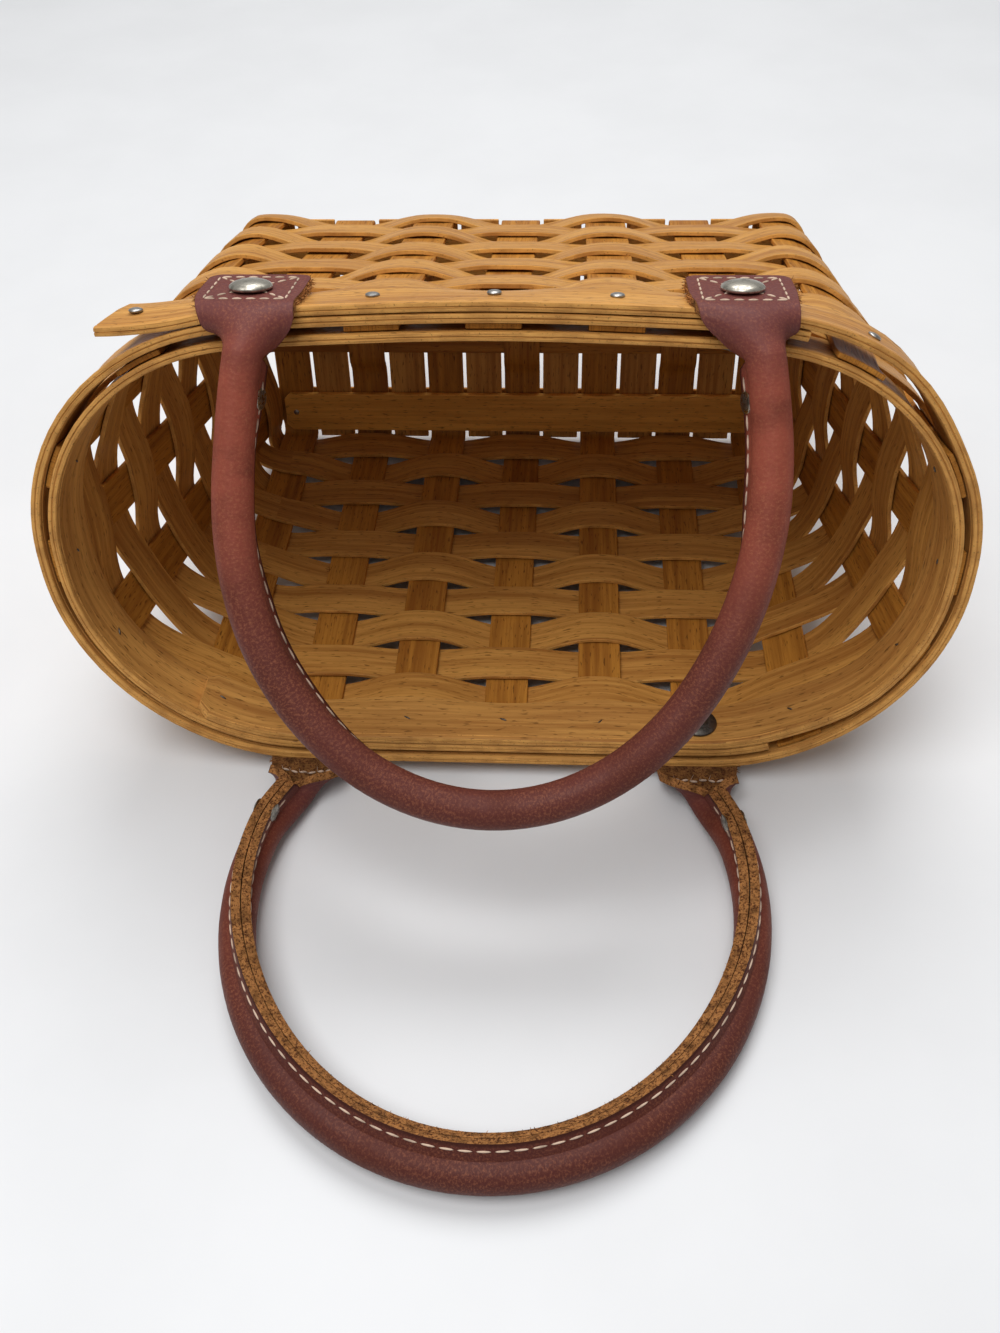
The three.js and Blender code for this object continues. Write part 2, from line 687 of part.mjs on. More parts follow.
// Middle line of a loop: a leg that spreads out of each neck, and a half oval bow between them
function loopLine(neckX, spread, reach) {
  const leg = Array.from({ length: LEG_STEPS }, (_, i) => {
    const back = (LEG_STEPS - i) / LEG_STEPS;
    return new THREE.Vector2(spread - (spread - neckX) * back * back, HANDLE_LEG * (1 - back));
  });
  const bow = Array.from({ length: BOW_STEPS + 1 }, (_, i) => {
    const angle = (Math.PI * i) / BOW_STEPS;
    const rise = (reach - HANDLE_LEG) * Math.sin(angle);
    return new THREE.Vector2(spread * Math.cos(angle), HANDLE_LEG + rise);
  });
  const farLeg = [...leg].reverse().map(({ x, y }) => new THREE.Vector2(-x, y));
  return [...leg, ...bow, ...farLeg];
}

// Stations along a loop: where each is, its outward direction, and how far it is rolled and leans.
// The necks leave the tabs square and turn along the loop as they roll up.
function loopStations(neckX, spread, reach, seamLean) {
  const line = loopLine(neckX, spread, reach);
  const last = line.length - 1;
  return line.map((point, i) => {
    const run = line[Math.min(i + 1, last)].clone().sub(line[Math.max(i - 1, 0)]).normalize();
    const bent = THREE.MathUtils.smoothstep(point.y, 0, NECK_LENGTH);
    const away = new THREE.Vector2(Math.sign(point.x), 0).lerp(new THREE.Vector2(run.y, -run.x), bent);
    away.normalize();
    const share = THREE.MathUtils.smoothstep(point.y, NECK_START, NECK_LENGTH);
    const lean = seamLean * THREE.MathUtils.smoothstep(point.y, NECK_LENGTH, reach);
    return { point, away, share, lean, thickness: LEATHER_THICKNESS };
  });
}

// The neck's ends are rounded about the hinge line, so that they turn clear of the tabs
function roundedEnd(station) {
  return Array.from({ length: NECK_END_STEPS }, (_, i) => {
    const angle = ((NECK_END_STEPS - i) * Math.PI) / (2 * NECK_END_STEPS + 1);
    const point = station.point.clone();
    point.y -= (LEATHER_THICKNESS / 2) * Math.sin(angle);
    return { ...station, point, thickness: LEATHER_THICKNESS * Math.cos(angle) };
  });
}

// Places a section's point: x out of the loop, y towards the seam, turned by the seam's lean
function placed({ point, away, lean }, { x, y }) {
  const outward = x * Math.cos(lean) - y * Math.sin(lean);
  const towardsSeam = x * Math.sin(lean) + y * Math.cos(lean);
  return new THREE.Vector3(point.x + away.x * outward, towardsSeam, point.y + away.y * outward);
}

function handleCover(loop) {
  const line = [...roundedEnd(loop[0]), ...loop, ...roundedEnd(loop.at(-1)).reverse()];
  const stations = line.map((station) => {
    const { outer, inner } = leatherFaces(halfSection(station.share), station.thickness);
    return {
      outer: outer.map((spot) => placed(station, spot)),
      inner: inner.map((spot) => placed(station, spot)),
    };
  });
  return sheetSolid(stations);
}

function handleCore(loop) {
  const rolled = loop.filter(({ share }) => share === 1);
  const spots = Array.from({ length: HOLE_SIDES }, (_, i) => {
    const angle = ((2 * i + 1) * Math.PI) / HOLE_SIDES;
    return new THREE.Vector2(Math.cos(angle), Math.sin(angle)).multiplyScalar(CORE_DIAMETER / 2);
  });
  const half = HOLE_SIDES / 2;
  const stations = rolled.map((station) => ({
    outer: spots.slice(0, half).map((spot) => placed(station, spot)),
    inner: spots.slice(half).reverse().map((spot) => placed(station, spot)),
  }));
  return sheetSolid(stations);
}

// Small rivets that close the seam just above each neck, clear of the roll's bulge
const NECK_RIVET_SEAT = SEAM_SIDE + LEATHER_THICKNESS / 2 + CLEARANCE;
const ROLL_OUTSIDE = ROLL_RADIUS + LEATHER_THICKNESS / 2;
const BULGE_HEIGHT = Math.sqrt(ROLL_OUTSIDE ** 2 - NECK_RIVET_SEAT ** 2);
const NECK_RIVET_HEIGHT = BULGE_HEIGHT + CLEARANCE + NECK_RIVET_DIAMETER / 2;
const closedFrom = NECK_LENGTH + NECK_RIVET_DIAMETER / 2;

function neckRivetSites(loop) {
  const first = loop.findIndex(({ point }) => point.y >= closedFrom);
  return [loop.at(first), loop.at(-1 - first)].map((station) => {
    const point = placed(station, new THREE.Vector2(0, NECK_RIVET_HEIGHT));
    const axis = placed(station, new THREE.Vector2(1, NECK_RIVET_HEIGHT)).sub(point).normalize();
    return { point, axis };
  });
}

function neckRivet() {
  const shank = NECK_RIVET_SHANK / 2;
  const head = dome(NECK_RIVET_DIAMETER / 2, NECK_RIVET_HEAD, SMALL_HEAD_STEPS);
  const top = head.map(([r, y]) => [r, NECK_RIVET_SEAT + y]);
  const shankEnds = [[shank, -NECK_RIVET_SEAT], [shank, NECK_RIVET_SEAT]];
  const bottom = [...top].reverse().map(([r, y]) => [r, -y]);
  return turned([...bottom, ...shankEnds, ...top]);
}

// The handle hinges on its flexible necks, just above the tabs and level with them
const HINGE_RISE = TAB_RISE + CLEARANCE + LEATHER_THICKNESS / 2;

function addHandle(name, side, swing, spread, reach, seamLean) {
  const { point: root, normal } = rimPlace(rivetUpright, side > 0);
  root.addScaledVector(normal, outerFace(side > 0) + TAB_SEAT + LEATHER_THICKNESS / 2);
  const stations = loopStations(root.x, spread, reach, seamLean);
  const sites = neckRivetSites(stations);
  const drills = sites.map(({ point, axis }) => (
    drill(point, axis, NECK_RIVET_SHANK + SHANK_ROOM, 2 * NECK_RIVET_SEAT)));
  const hinge = new THREE.Group();
  hinge.position.set(0, root.y, RIM_Z + HINGE_RISE);
  hinge.rotation.set(swing, 0, 0);
  const loop = new THREE.Group();
  loop.rotation.z = side > 0 ? Math.PI : 0;
  hinge.add(loop);
  add(loop, `${name}_handle_cover`, cut(handleCover(stations), drills), leather);
  add(loop, `${name}_handle_core`, handleCore(stations), cordFibre);
  sites.forEach(({ point, axis }, i) => {
    const end = (i === 0) === (side < 0) ? 'right' : 'left';
    add(loop, `${name}_neck_rivet_${end}`, stand(neckRivet(), point, axis), darkNickel);
  });
  basket.add(hinge);
}

// It rests on the lower rivets' caps and on the lowest weaver's lower edge
const capReach = RIM_WIDTH / 2 + CAP_SEAT + RIVET_CAP_HEIGHT;
const footReach = BASE_HALF_WIDTH + LAYER + HALF_SPLINT;
const LYING_TILT = Math.atan2(capReach - footReach, BAND_Z - WEAVE_LOW_Z);

const hangingSwing = Math.PI / 2 - UPPER_HANDLE_HANG + LYING_TILT;
addHandle('lower', -1, LYING_TILT, LOWER_HANDLE_SPREAD, LOWER_HANDLE_REACH, LOWER_SEAM_LEAN);
addHandle('upper', 1, hangingSwing, UPPER_HANDLE_SPREAD, UPPER_HANDLE_REACH, UPPER_SEAM_LEAN);

basket.rotation.x = Math.PI / 2 - LYING_TILT;

// The origin is under the middle of everything, on the surface that it lies on
const group = new THREE.Group();
group.add(basket);
group.updateMatrixWorld(true);
const bounds = new THREE.Box3().setFromObject(group, true);
const middle = bounds.getCenter(new THREE.Vector3());
basket.position.set(-middle.x, -middle.y, -bounds.min.z);

export default group;
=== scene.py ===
"""A splint basket with two rolled leather handles, lying on its long side on a pale table."""
import json
import math
import random

import bmesh
import bpy
from bpy.props import FloatProperty, FloatVectorProperty, PointerProperty
from mathutils import Matrix, Vector


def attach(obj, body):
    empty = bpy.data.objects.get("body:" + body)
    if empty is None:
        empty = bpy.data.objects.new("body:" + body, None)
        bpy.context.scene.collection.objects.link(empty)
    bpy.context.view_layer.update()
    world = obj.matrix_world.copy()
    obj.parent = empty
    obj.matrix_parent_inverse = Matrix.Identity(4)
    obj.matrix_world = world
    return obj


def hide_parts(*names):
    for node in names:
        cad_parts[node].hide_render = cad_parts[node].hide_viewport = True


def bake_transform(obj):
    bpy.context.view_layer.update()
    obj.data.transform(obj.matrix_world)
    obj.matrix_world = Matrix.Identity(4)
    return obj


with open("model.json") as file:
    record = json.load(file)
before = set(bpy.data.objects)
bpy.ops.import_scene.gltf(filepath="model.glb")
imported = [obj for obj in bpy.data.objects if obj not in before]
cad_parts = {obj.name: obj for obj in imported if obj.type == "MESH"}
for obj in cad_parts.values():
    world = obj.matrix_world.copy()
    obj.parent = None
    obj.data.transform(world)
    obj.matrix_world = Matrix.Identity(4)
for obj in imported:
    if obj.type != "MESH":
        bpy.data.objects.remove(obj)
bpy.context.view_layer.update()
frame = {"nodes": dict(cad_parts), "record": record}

bl_info = {
    "name": "Splint basket",
    "version": (1, 0, 0),
    "blender": (4, 5, 0),
    "location": "View3D > Sidebar > Basket",
    "description": "Builds a woven splint basket with banded rim and rolled leather handles",
    "category": "Add Mesh",
}

MM = 0.001
SIDES = ("lower", "upper")

# Counts
SIDE_UPRIGHTS = 7
END_UPRIGHTS = 3
UPRIGHTS = 2 * (SIDE_UPRIGHTS + END_UPRIGHTS)
WEAVER_ROWS = 10
SIDE_REACH = SIDE_UPRIGHTS // 2
END_REACH = END_UPRIGHTS // 2
RIVET_UPRIGHT = SIDE_REACH - 1

# Shares of the wall's height: where an upright leaves its straight line, and where the rim's crown starts
SWAY_ONSET = 0.07
CROWN_START = 0.4

# How finely the pieces are divided
STRIP_BREADTH = 4
WEAVER_STEPS = 12
UPRIGHT_STEPS = 44
FOOT_STEPS = 4
CROSS_STEPS = 40
LONG_STEPS = 30
FILLER_STEPS = 12
BAR_STEPS = 24
BAND_STEPS = 8
TAIL_STEPS = 12
TAB_STEPS = 8
TURN_STEPS = 5
LEG_STEPS = 44
BOW_STEPS = 34
ROLL_STEPS = 12
FILLET_STEPS = 3
SEAM_STEPS = 3
ROUND_STEPS = 40
NECK_RIVET_STEPS = 28
TACK_STEPS = 20

# Points closer than this are merged
STRIP_MERGE = 0.01 * MM
TURNED_MERGE = 0.005 * MM

# How far edges are rounded, and the angles from which an edge counts as one
SPLINT_EDGE = 0.28 * MM
BAR_EDGE = 0.5 * MM
LEATHER_EDGE = 0.4 * MM
EDGE_ANGLE = math.radians(50)
BAND_CREASE = math.radians(30)

# Where each kind's grain starts on the wood pattern, and its step from piece to piece, in metres
WEAVER_GRAIN_STEP = 1.7
UPRIGHT_GRAIN = 40
UPRIGHT_GRAIN_STEP = 1.3
FILLER_GRAIN = 60
BAR_GRAIN = 70
OUTER_BAND_GRAIN = 80
INNER_BAND_GRAIN = 90

# Seeds of the pieces that vary
WEAVER_SEED = 11
CLINCH_SEED = 5
NECK_SEED = 31
FRAY_SEED = 23


def size(name, description, millimetres):
    """A length that a user may change, given in millimetres."""
    return FloatProperty(name=name, description=description, default=millimetres * MM, unit="LENGTH",
                         subtype="DISTANCE", precision=5)


def angle(name, description, degrees):
    """An angle that a user may change, given in degrees."""
    return FloatProperty(name=name, description=description, default=math.radians(degrees), unit="ROTATION",
                         subtype="ANGLE")


def colour(name, description, red, green, blue):
    """A linear colour that a user may change."""
    return FloatVectorProperty(name=name, description=description, default=(red, green, blue), size=3,
                               min=0, max=1, subtype="COLOR")


class BasketSizes(bpy.types.PropertyGroup):
    """Sizes of the woven basket and its rim"""

    clearance: size("Clearance", "Fit between pieces that touch", 0.3)
    splint_width: size("Splint width", "Width of the uprights, weavers and fillers", 12.7)
    splint_thickness: size("Splint thickness", "Thickness of the uprights, weavers and fillers", 1.3)
    row_gap: size("Row gap", "Gap between two rows of weaving", 1.1)
    filler_gap: size("Filler gap", "Gap between an upright and the filler beside it", 1.18)
    upright_sway: size("Upright sway", "How far the weavers push every other upright out of line", 1.1)
    rim_length: size("Rim length", "Length of the rim over the outer band", 237)
    rim_width: size("Rim width", "Width of the rim over the outer band", 129)
    rim_end_flat: size("Rim end flat", "Straight stretch at the middle of each round end", 3.3)
    rim_crown: size("Rim crown", "How far the middle of the upper side bows out at the rim", 2.4)
    band_width: size("Band width", "Height of the rim bands", 15.2)
    outer_band: size("Outer band", "Thickness of the outer rim band", 2.4)
    inner_band: size("Inner band", "Thickness of the inner rim band", 2.3)
    upright_drop: size("Upright drop", "How far below the rim the uprights end", 1.6)
    lap_tail: size("Lap tail", "Loose end of the outer band past the last upright", 8)
    tail_droop: size("Tail droop", "How far the loose end bends in towards the rim", 3.0)
    tail_slant: size("Tail slant", "How much shorter the loose end's lower edge is", 4.5)
    inner_lap_past: size("Inner lap", "How far the inner band's lap passes the last upright", 4.5)
    lap_corner: size("Lap corner", "Cut at the corners of the inner lap's end", 2.5)
    base_end_room: size("Base end room", "Room between the last cross upright and the end wall", 1.15)
    base_side_room: size("Base side room", "Room between the last long upright and the side wall", 5.5)
    base_corner: size("Base corner", "Radius of the wall's corners at the floor", 4)
    floor_room: size("Floor room", "Room between the floor and the lowest weaver", 1.8)
    filler_overhang: size("Filler overhang", "How far the fillers pass the middle of the walls", 0.4)
    bar_width: size("Bar width", "Width of the floor bars", 14.4)
    bar_thickness: size("Bar thickness", "Thickness of the floor bars", 2.4)
    bar_gap: size("Bar gap", "Gap between a bar and the lowest weaver", 0.95)
    bar_corner: size("Bar corner", "Cut at the corners of the floor bars", 2.2)
    bar_tack_inset: size("Bar tack inset", "Distance of the bars' tacks from their ends", 4)


class LeatherSizes(bpy.types.PropertyGroup):
    """Sizes of the handles and their fastenings"""

    thickness: size("Leather", "Thickness of the leather", 2.4)
    tab_width: size("Tab width", "Width of the tabs at the rim", 24)
    tab_overhang: size("Tab overhang", "How far the tabs reach below the rim bands", 4.5)
    tab_rise: size("Tab rise", "How far the tabs rise above the rim before they bend", 2.5)
    tab_corner: size("Tab corner", "Radius of the tabs' corners", 3)
    neck_width: size("Neck width", "Width of the leather where it starts to roll up", 21)
    neck_start: size("Neck start", "Distance from the hinge where the leather starts to roll up", -4)
    lower_neck: size("Lower neck", "Distance from the hinge where the lower roll is closed", 6)
    upper_neck: size("Upper neck", "Distance from the hinge where the upper roll is closed", 9)
    lower_mouth: size("Lower mouth", "Distance from the hinge where the lower roll is fully round", 24)
    seam_ramp: size("Seam ramp", "Distance in which the sewn edges rise to their height", 2.5)
    core: size("Core", "Diameter of the cord inside the roll", 4.2)
    seam_slit: size("Seam slit", "Gap between the two sewn edges", 0.3)
    seam_width: size("Seam width", "Width of the sewn edges beside the roll", 5)
    leg: size("Leg", "Length of a loop's legs between the hinge and the bow", 41)
    lower_spread: size("Lower spread", "Half of the lower loop's width", 67)
    lower_reach: size("Lower reach", "How far the lower loop reaches from its hinge", 111.7)
    upper_spread: size("Upper spread", "Half of the upper loop's width", 60.5)
    upper_reach: size("Upper reach", "How far the upper loop reaches from its hinge", 114.1)
    upper_hang: angle("Upper hang", "How far from vertical the upper handle hangs", 36.3)
    lower_lean: angle("Lower lean", "How far the lower seam leans into its loop", 40)
    upper_sway: size("Upper sway", "How far the upper handle's necks hang to the right", 2.2)
    upper_pinch: FloatProperty(name="Upper pinch", description="Share by which the upper necks are narrower",
                               default=0.12, min=0, max=1, subtype="FACTOR")
    upper_lean: angle("Upper lean", "How far the upper seam leans into its loop", -7)
    rivet_cap: size("Rivet cap", "Diameter of the domed rivet caps", 10)
    rivet_height: size("Rivet height", "Height of the domed rivet caps", 2.1)
    burr: size("Burr", "Diameter of the washers behind the rivets", 10.5)
    tack_head: size("Tack head", "Diameter of the rim tacks' heads", 3.4)
    neck_rivet: size("Neck rivet", "Diameter of the small rivets at the necks", 5.2)
    neck_rivet_reach: size("Neck rivet reach", "Distance from the hinge to the neck rivets", 18.64)
    neck_rivet_drop: size("Neck rivet drop", "How far below the sewn edge the neck rivets sit", 1.6)
    neck_pitch: size("Neck stitch pitch", "Distance between the stitches across a neck", 2.6)
    stitch_pitch: size("Stitch pitch", "Distance between two stitches of the seam", 4.2)
    stitch_inset: size("Stitch inset", "Distance of the seam's stitches from the sewn edge", 1.8)


class BasketColours(bpy.types.PropertyGroup):
    """Colours of the wood, leather and metal"""

    weaver: colour("Weavers", "Honey coloured splint of the weavers", 0.63, 0.316, 0.074)
    weaver_dark: colour("Weaver shade", "Darker growth in the weavers", 0.37, 0.15, 0.030)
    upright: colour("Uprights", "Golden splint of the uprights", 0.52, 0.225, 0.034)
    upright_dark: colour("Upright shade", "Darker growth in the uprights", 0.28, 0.098, 0.013)
    band: colour("Bands", "Honey tan wood of the rim bands", 0.64, 0.325, 0.084)
    band_dark: colour("Band shade", "Darker growth in the rim bands", 0.37, 0.155, 0.036)
    # The floor bars are golden wood, painted lighter than their own colour as painted light reaching the
    # basket's floor
    bar: colour("Floor bars", "Golden wood of the floor bars", 0.88, 0.44, 0.085)
    bar_dark: colour("Floor bar shade", "Darker growth in the floor bars", 0.60, 0.27, 0.045)
    leather: colour("Leather", "Grain side of the leather", 0.168, 0.039, 0.024)
    leather_worn: colour("Worn leather", "Lighter specks where the leather is worn", 0.40, 0.145, 0.072)
    suede: colour("Suede", "Raw side and edges of the leather", 0.36, 0.16, 0.052)
    thread: colour("Thread", "Cream sewing thread", 0.66, 0.49, 0.37)
    nickel: colour("Nickel", "Antique nickel of the rivet caps", 0.66, 0.62, 0.53)
    dark_metal: colour("Dark metal", "Dark burrs and tack points", 0.16, 0.145, 0.13)
    steel: colour("Steel", "Plain steel of the tacks", 0.50, 0.49, 0.47)
    table: colour("Table", "Pale surface that the basket lies on", 0.80, 0.81, 0.825)


class BasketSettings(bpy.types.PropertyGroup):
    """Everything that a user may change"""

    basket: PointerProperty(type=BasketSizes)
    leather: PointerProperty(type=LeatherSizes)
    colours: PointerProperty(type=BasketColours)


def settings():
    """The sizes and colours that the scene holds."""
    return bpy.context.scene.splint_basket


# Small helpers

def lerp(low, high, share):
    """The value at a share of the way from low to high."""
    return low + (high - low) * share


def smooth(low, high, value):
    """Rises smoothly from 0 at low to 1 at high."""
    share = min(max((value - low) / (high - low), 0), 1)
    return share * share * (3 - 2 * share)


def spread_out(low, high, steps):
    """Evenly spaced values from low to high, both included."""
    return [lerp(low, high, i / steps) for i in range(steps + 1)]


# The basket's walls

def basket_frame():
    """From the basket standing on its base to where it lies, which the record's base mount says."""
    mount = next(m for m in frame["record"]["mounts"] if m["name"] == "base")
    up = -Vector(mount["axis"]).normalized()
    along = Vector((1, 0, 0))
    back = up.cross(along)
    origin = Vector(mount["pos_m"]) + back * Wall().pitch
    turn = Matrix((along, back, up)).transposed().to_4x4()
    return Matrix.Translation(origin) @ turn


class Wall:
    """The wall as a rounded rectangle that opens out from the floor to the rim."""

    def __init__(self):
        s = settings().basket
        self.sizes = s
        self.half = s.splint_thickness / 2
        self.layer = s.splint_thickness + s.clearance
        self.pitch = 2 * (s.splint_width + s.filler_gap)
        self.floor_z = self.half + self.layer
        self.weave_low = self.floor_z + s.floor_room
        self.row_pitch = s.splint_width + s.row_gap
        self.band_low = self.weave_low + self.row_pitch * WEAVER_ROWS
        self.rim_z = self.band_low + s.band_width
        self.band_z = self.band_low + s.band_width / 2
        self.base_length = SIDE_REACH * self.pitch + s.splint_width / 2 + s.base_end_room
        self.base_width = END_REACH * self.pitch + s.splint_width / 2 + s.base_side_room
        rim_wall = self.half + s.clearance + s.outer_band
        self.rim_length = s.rim_length / 2 - rim_wall
        self.rim_width = s.rim_width / 2 - rim_wall
        self.rim_corner = self.rim_width - s.rim_end_flat / 2
        self.slope = (self.rim_width - self.base_width) / (self.band_z - self.floor_z)
        self.outer_layer = self.half + s.clearance + s.outer_band / 2
        self.outer_lap = self.outer_layer + s.outer_band + s.clearance
        self.inner_layer = -(self.half + s.clearance + s.inner_band / 2)
        self.inner_lap = self.inner_layer - s.inner_band - s.clearance
        bar_room = self.layer + self.half + s.bar_gap
        self.bar_end = self.base_length - bar_room
        self.bar_y = self.base_width - bar_room - s.bar_width / 2
        self.bar_z = self.floor_z + self.half + s.clearance + s.bar_thickness / 2

    def rise(self, z):
        """How far up the slope a height is: 0 at the floor, 1 at the middle of the rim bands."""
        return max((z - self.floor_z) / (self.band_z - self.floor_z), 0)

    def outline(self, z):
        """Half length, half width and corner radius of the wall at a height."""
        share = self.rise(z)
        length = lerp(self.base_length, self.rim_length, share)
        width = lerp(self.base_width, self.rim_width, share)
        corner = lerp(self.sizes.base_corner, self.rim_corner, min(share, 1))
        return length, width, corner + max(width - self.rim_width, 0)

    def sides(self, z):
        """Each side's run, facing, half flat, corners' distance out and radius, and its middle's place."""
        length, width, radius = self.outline(z)
        place = 0
        for turn in range(4):
            along, out = (width, length) if turn % 2 else (length, width)
            run = Vector((math.cos(turn * math.pi / 2), math.sin(turn * math.pi / 2), 0))
            facing = Vector((run.y, -run.x, 0))
            yield run, facing, along - radius, out - radius, radius, place + along - radius
            place += 2 * (along - radius) + radius * math.pi / 2

    def around(self, z):
        """Length once round the wall at a height."""
        length, width, radius = self.outline(z)
        return 4 * (length + width - 2 * radius) + 2 * math.pi * radius

    def crown(self, z, x):
        """How far the upper side bows out at a height and a distance from its middle."""
        reach = min(abs(x) / (SIDE_REACH * self.pitch), 1)
        bow = self.sizes.rim_crown * math.cos(reach * math.pi / 2) ** 2
        return bow * smooth(CROWN_START, 1, self.rise(z))

    def at(self, z, distance):
        """Point and outward direction at a distance round the wall, from the lower side's left corner."""
        sides = list(self.sides(z))
        distance %= self.around(z)
        for run, facing, flat, out, radius, middle in sides:
            step = distance - middle
            if step <= flat:
                bow = self.crown(z, step) if facing.y > 0.5 else 0
                return facing * (out + radius + bow) + run * step + Vector((0, 0, z)), facing
            turned = (step - flat) / radius
            if turned <= math.pi / 2:
                normal = facing * math.cos(turned) + run * math.sin(turned)
                return facing * out + run * flat + normal * radius + Vector((0, 0, z)), normal
        raise ValueError("a place on the wall was not found")

    def upright_place(self, number, z):
        """How far round the wall an upright's middle lies."""
        turn, number = divmod(number, UPRIGHTS)
        counts = (SIDE_UPRIGHTS, END_UPRIGHTS, SIDE_UPRIGHTS, END_UPRIGHTS)
        side = 0
        while number >= counts[side]:
            number -= counts[side]
            side += 1
        _, _, flat, _, radius, middle = list(self.sides(z))[side]
        offset = (number - counts[side] // 2) * self.pitch
        past = max(abs(offset) - flat, 0)
        reach = min(abs(offset), flat) + radius * math.asin(min(past / radius, 1))
        return turn * self.around(z) + middle + math.copysign(reach, offset)

    def sway(self, number, z):
        """How far the weavers push an upright out of line between the floor and the rim."""
        place = number % (SIDE_UPRIGHTS + END_UPRIGHTS)
        if place >= SIDE_UPRIGHTS:
            return 0
        way = -1 if place % 2 else 1
        share = self.rise(z)
        return way * self.sizes.upright_sway * smooth(0, SWAY_ONSET, min(share, 1 - share))

    def between(self, z, station, offset=0.0):
        """A point of the wall at a station counted in uprights, set out by an offset."""
        number = math.floor(station)
        share = station - number
        place = lerp(self.upright_place(number, z), self.upright_place(number + 1, z), share)
        point, normal = self.at(z, place)
        push = lerp(self.sway(number, z), self.sway(number + 1, z), smooth(0, 1, share))
        return point + normal * offset + Vector((0, push, 0)), normal

    def upright_row(self, number, z, way):
        """A row of points across an upright at a height."""
        place = self.upright_place(number, z)
        push = Vector((0, self.sway(number, z), 0))
        reach = way * self.sizes.splint_width / 2
        spots = spread_out(-reach, reach, STRIP_BREADTH)
        return [self.at(z, place + spot)[0] + push for spot in spots]

    def rim_site(self, number):
        """Middle and outward direction of the rim at an upright."""
        return self.at(self.band_z, self.upright_place(number, self.band_z))

    def square_out(self, normal):
        """The way square out of the sloping wall."""
        return (normal - Vector((0, 0, self.slope))).normalized()


def lower_number(k):
    """An upright's number, by its place along the lower side from the middle."""
    return k + SIDE_REACH


def upper_number(k):
    """An upright's number, by its place along the upper side from the middle."""
    return SIDE_UPRIGHTS + END_UPRIGHTS + SIDE_REACH - k


RIVETED = {number(k) for number in (lower_number, upper_number) for k in (-RIVET_UPRIGHT, RIVET_UPRIGHT)}
TACKED = [number for number in range(UPRIGHTS) if number not in RIVETED]


# Meshes

def finish_mesh(name, mesh, materials, smooth_faces=True, crease=None):
    """Makes an object of a finished bmesh, with its place in its mesh and edges past an angle left sharp."""
    data = bpy.data.meshes.new(name)
    mesh.to_mesh(data)
    mesh.free()
    for material in materials:
        data.materials.append(material)
    if smooth_faces:
        data.shade_smooth()
    if crease:
        data.set_sharp_from_angle(angle=crease)
    piece = bpy.data.objects.new(name, data)
    bpy.context.scene.collection.objects.link(piece)
    return piece


def strip_mesh(rows, closed=False, start=0.0):
    """A sheet through rows of points, with a Grain map in metres along and across it."""
    steps = len(rows) - 1
    breadth = len(rows[0]) - 1
    mesh = bmesh.new()
    grain = mesh.loops.layers.uv.new("Grain")
    bmesh.ops.create_grid(mesh, x_segments=steps, y_segments=breadth, size=0.5)
    spot = {v: (round((v.co.x + 0.5) * steps), round((v.co.y + 0.5) * breadth)) for v in mesh.verts}
    along = [start]
    middle = breadth // 2
    for before, after in zip(rows, rows[1:]):
        along.append(along[-1] + (after[middle] - before[middle]).length)
    across = [0.0]
    widest = max(rows, key=lambda row: sum((b - a).length for a, b in zip(row, row[1:])))
    for before, after in zip(widest, widest[1:]):
        across.append(across[-1] + (after - before).length)
    for face in mesh.faces:
        for loop in face.loops:
            i, j = spot[loop.vert]
            loop[grain].uv = (along[i], across[j])
    for vertex, (i, j) in spot.items():
        vertex.co = rows[i][j]
    if closed:
        bmesh.ops.remove_doubles(mesh, verts=mesh.verts, dist=STRIP_MERGE)
    return mesh


def bar_mesh(rows, start=0.0):
    """A bar through rows that each run once round its section, with closed ends."""
    mesh = strip_mesh([row + row[:1] for row in rows], closed=True, start=start)
    bmesh.ops.holes_fill(mesh, edges=[edge for edge in mesh.edges if edge.is_boundary], sides=0)
    bmesh.ops.recalc_face_normals(mesh, faces=mesh.faces)
    up = basket_frame().to_3x3() @ Vector((0, 0, 1))
    for face in mesh.faces:
        is_edge = abs(face.normal.dot(up)) > 0.5
        is_end = len(face.verts) > 4
        face.material_index = 1 if is_edge or is_end else 0
    return mesh


def thicken(piece, thickness, edge, edge_steps=2, back=0, rim=0, crisp=True):
    """Gives a sheet its thickness about its middle and rounds its edges."""
    wall = piece.modifiers.new("Thickness", "SOLIDIFY")
    wall.thickness = thickness
    wall.offset = 0
    wall.use_even_offset = True
    wall.material_offset = back
    wall.material_offset_rim = rim
    rounding = piece.modifiers.new("Rounded edges", "BEVEL")
    rounding.width = edge
    rounding.segments = edge_steps
    rounding.limit_method = "ANGLE"
    rounding.angle_limit = EDGE_ANGLE
    rounding.material = -1
    rounding.harden_normals = crisp


def place_rows(rows):
    """Rows of points in the basket's own frame, set where the basket lies."""
    lie = basket_frame()
    return [[lie @ point for point in row] for row in rows]


def seat(piece, body, slot, *nodes):
    """Rides a piece on a body, in place of CAD nodes."""
    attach(piece, body)
    if nodes:
        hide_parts(*nodes)


# Materials

# Roughness of the wood's smoothest fibres
WOOD_GLOSS = 0.42

# Painted shade and light in a handle's leather: each bow painted darker, as shade on its underside, and the
# upper handle's legs painted lighter, as light on their upward faces
BOW_PAINTED_SHADE = {"lower": 0.62, "upper": 0.8}
LEG_PAINTED_LIGHT = {"lower": 1.0, "upper": 1.8}
# Painted shade and light on the raw leather: the suede side darker, as shade in the rolls' hollows, and the
# cut edges and loose fibres lighter, as light that they catch
SUEDE_PAINTED_SHADE = 0.7
CUT_EDGE_PAINTED_LIGHT = 1.3
LOOSE_FIBRE_PAINTED_LIGHT = 2.0

# The bows get a bluer tint on top of their painted shade, and the tabs are more purple
BOW_TINT = (0.85, 0.98, 1.25)
TAB_TINT = (0.8, 1, 1.5)

